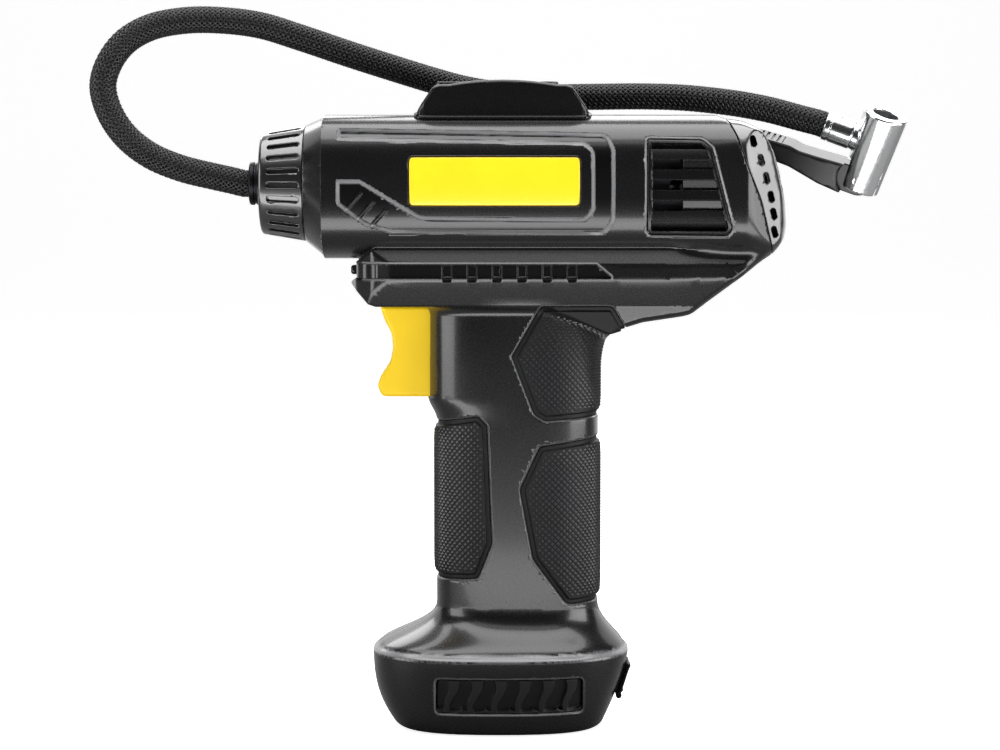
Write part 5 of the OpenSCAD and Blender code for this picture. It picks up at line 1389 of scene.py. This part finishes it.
class INFLATOR_OT_grip(bpy.types.Operator):
    """Make the knurled rubber pads, the trigger and the charging port's flap"""

    bl_idname = "inflator.grip"
    bl_label = "Grip pads and trigger"

    def execute(self, context):
        pitch = context.scene.inflator_parts.knurl_pitch
        for word, outline in PADS.items():
            node = f"{word}_grip_pad"
            make(f"{word}_pad", "rubber", pad(outline), (-23, -23, 37), (44, 23, 130), node)
            studs = knurl(f"{word}_knurl", outline, word != "front", pitch, finish("studs"))
            dress(studs, "rubber", "housing", node)
        make("trigger_blade", "yellow_trigger", trigger_shape, (-38, -8, 98), (-1, 8, 129),
             "trigger", 0.7, "trigger")
        spring = frame["nodes"]["trigger_spring"].data.copy()
        shape = bmesh.new()
        shape.from_mesh(spring)
        bmesh.ops.remove_doubles(shape, verts=shape.verts, dist=1e-6)
        shape.to_mesh(spring)
        shape.free()
        spring.materials.clear()
        coil = dress(add("trigger_coil", spring), "steel", "housing", "trigger_spring")
        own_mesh(coil)
        make("port_flap", "rubber", port_flap, (32, -8, 7), (42, 8, 21), "charge_flap", 0.6,
             "charge_flap")
        return {"FINISHED"}


class INFLATOR_OT_display(bpy.types.Operator):
    """Make the display housing with its window and four keys"""

    bl_idname = "inflator.display"
    bl_label = "Display"

    def execute(self, context):
        make("display_hump", "black_trim", hump, (-28, -20, 178), (28, 20, 196), "display_housing",
             0.7)
        make("window_plate", "window", glass, (-20, -14, 191), (10, 14, 195), "display_window", 0.7)
        for slot, word in enumerate(KEYS):
            make(f"{word}_key", "buttons", key(slot), (9, -17, 188), (19, 17, 196),
                 f"{word}_button", 0.4, f"{word}_button")
        return {"FINISHED"}


def screw(head_r, head_h, shank_r, shank_l):
    """Pan head screw with a six-lobed recess and a thread, its head above zero."""

    def shape(x, y, z):
        r, angle = np.hypot(x, y), np.arctan2(y, x)
        head = both(r - head_r, np.maximum(z - head_h + 0.35 * (r / head_r) ** 2, -z), 0.25)
        star = r - 1.15 - 0.18 * np.cos(6 * angle)
        head = less(head, np.maximum(star, head_h - 0.75 - z), 0.08)
        turn = (z / 1.1 + angle / (2 * math.pi)) % 1
        thread = r - shank_r + 0.28 * np.abs(turn - 0.5) * 2
        return np.minimum(head, both(thread, slab(z, -shank_l, 0.1), 0.2))

    return shape


class INFLATOR_OT_screws(bpy.types.Operator):
    """Set the housing's and the foot cover's screws"""

    bl_idname = "inflator.screws"
    bl_label = "Screws"

    def execute(self, context):
        groups = (
            ("housing_screw_set", "housing_screws", screw(2.4, 1.8, 1.35, 16.5), 17,
             [(x, 12, z) for x, z in SCREW_SPOTS], (-math.pi / 2, 0, 0)),
            ("cover_screw_set", "base_screws", screw(2.4, 0.88, 1.35, 8.8), 9,
             [(x, y, 1.18) for x in (-20, 20) for y in (-12, 12)], (math.pi, 0, 0)))
        for name, node, shape, length, places, turn in groups:
            cell = carve("screw", shape, (-3, -3, -length - 1), (3, 3, 3), 0.3)
            cell.data.materials.append(finish("steel"))
            screws = repeat(name, cell, np.array(places) * MM, [turn] * len(places),
                            [1] * len(places), finish("steel"))
            dress(screws, "steel", "housing", node)
        return {"FINISHED"}


class INFLATOR_OT_insides(bpy.types.Operator):
    """Give every piece inside the housing its finish"""

    bl_idname = "inflator.insides"
    bl_label = "Insides"

    def execute(self, context):
        for row in frame["record"]["subparts"]:
            obj = frame["nodes"][row["node"]]
            material = finish(row["material_slot"])
            for slot in obj.material_slots:
                slot.material = material
            if not obj.material_slots:
                raise RuntimeError(f"{obj.name} has no material slot")
        return {"FINISHED"}


class INFLATOR_PT_panel(bpy.types.Panel):
    """Sidebar panel that lists the inflator's settings and pieces"""

    bl_idname = "INFLATOR_PT_panel"
    bl_label = "Inflator"
    bl_space_type = "VIEW_3D"
    bl_region_type = "UI"
    bl_category = "Inflator"

    def draw(self, context):
        for settings in (context.scene.inflator_look, context.scene.inflator_parts):
            for name in settings.__annotations__:
                self.layout.prop(settings, name)
        for operator in OPERATORS:
            self.layout.operator(operator.bl_idname)


OPERATORS = (INFLATOR_OT_stage, INFLATOR_OT_hose, INFLATOR_OT_housing, INFLATOR_OT_trim,
             INFLATOR_OT_grip, INFLATOR_OT_display, INFLATOR_OT_screws, INFLATOR_OT_insides)
CLASSES = (InflatorLook, InflatorParts, *OPERATORS, INFLATOR_PT_panel)


def register():
    for cls in CLASSES:
        bpy.utils.register_class(cls)
    bpy.types.Scene.inflator_look = bpy.props.PointerProperty(type=InflatorLook)
    bpy.types.Scene.inflator_parts = bpy.props.PointerProperty(type=InflatorParts)


def unregister():
    del bpy.types.Scene.inflator_look
    del bpy.types.Scene.inflator_parts
    for cls in reversed(CLASSES):
        bpy.utils.unregister_class(cls)


def main():
    register()
    for operator in OPERATORS:
        group, name = operator.bl_idname.split(".")
        getattr(getattr(bpy.ops, group), name)()


if __name__ == "__main__":
    main()
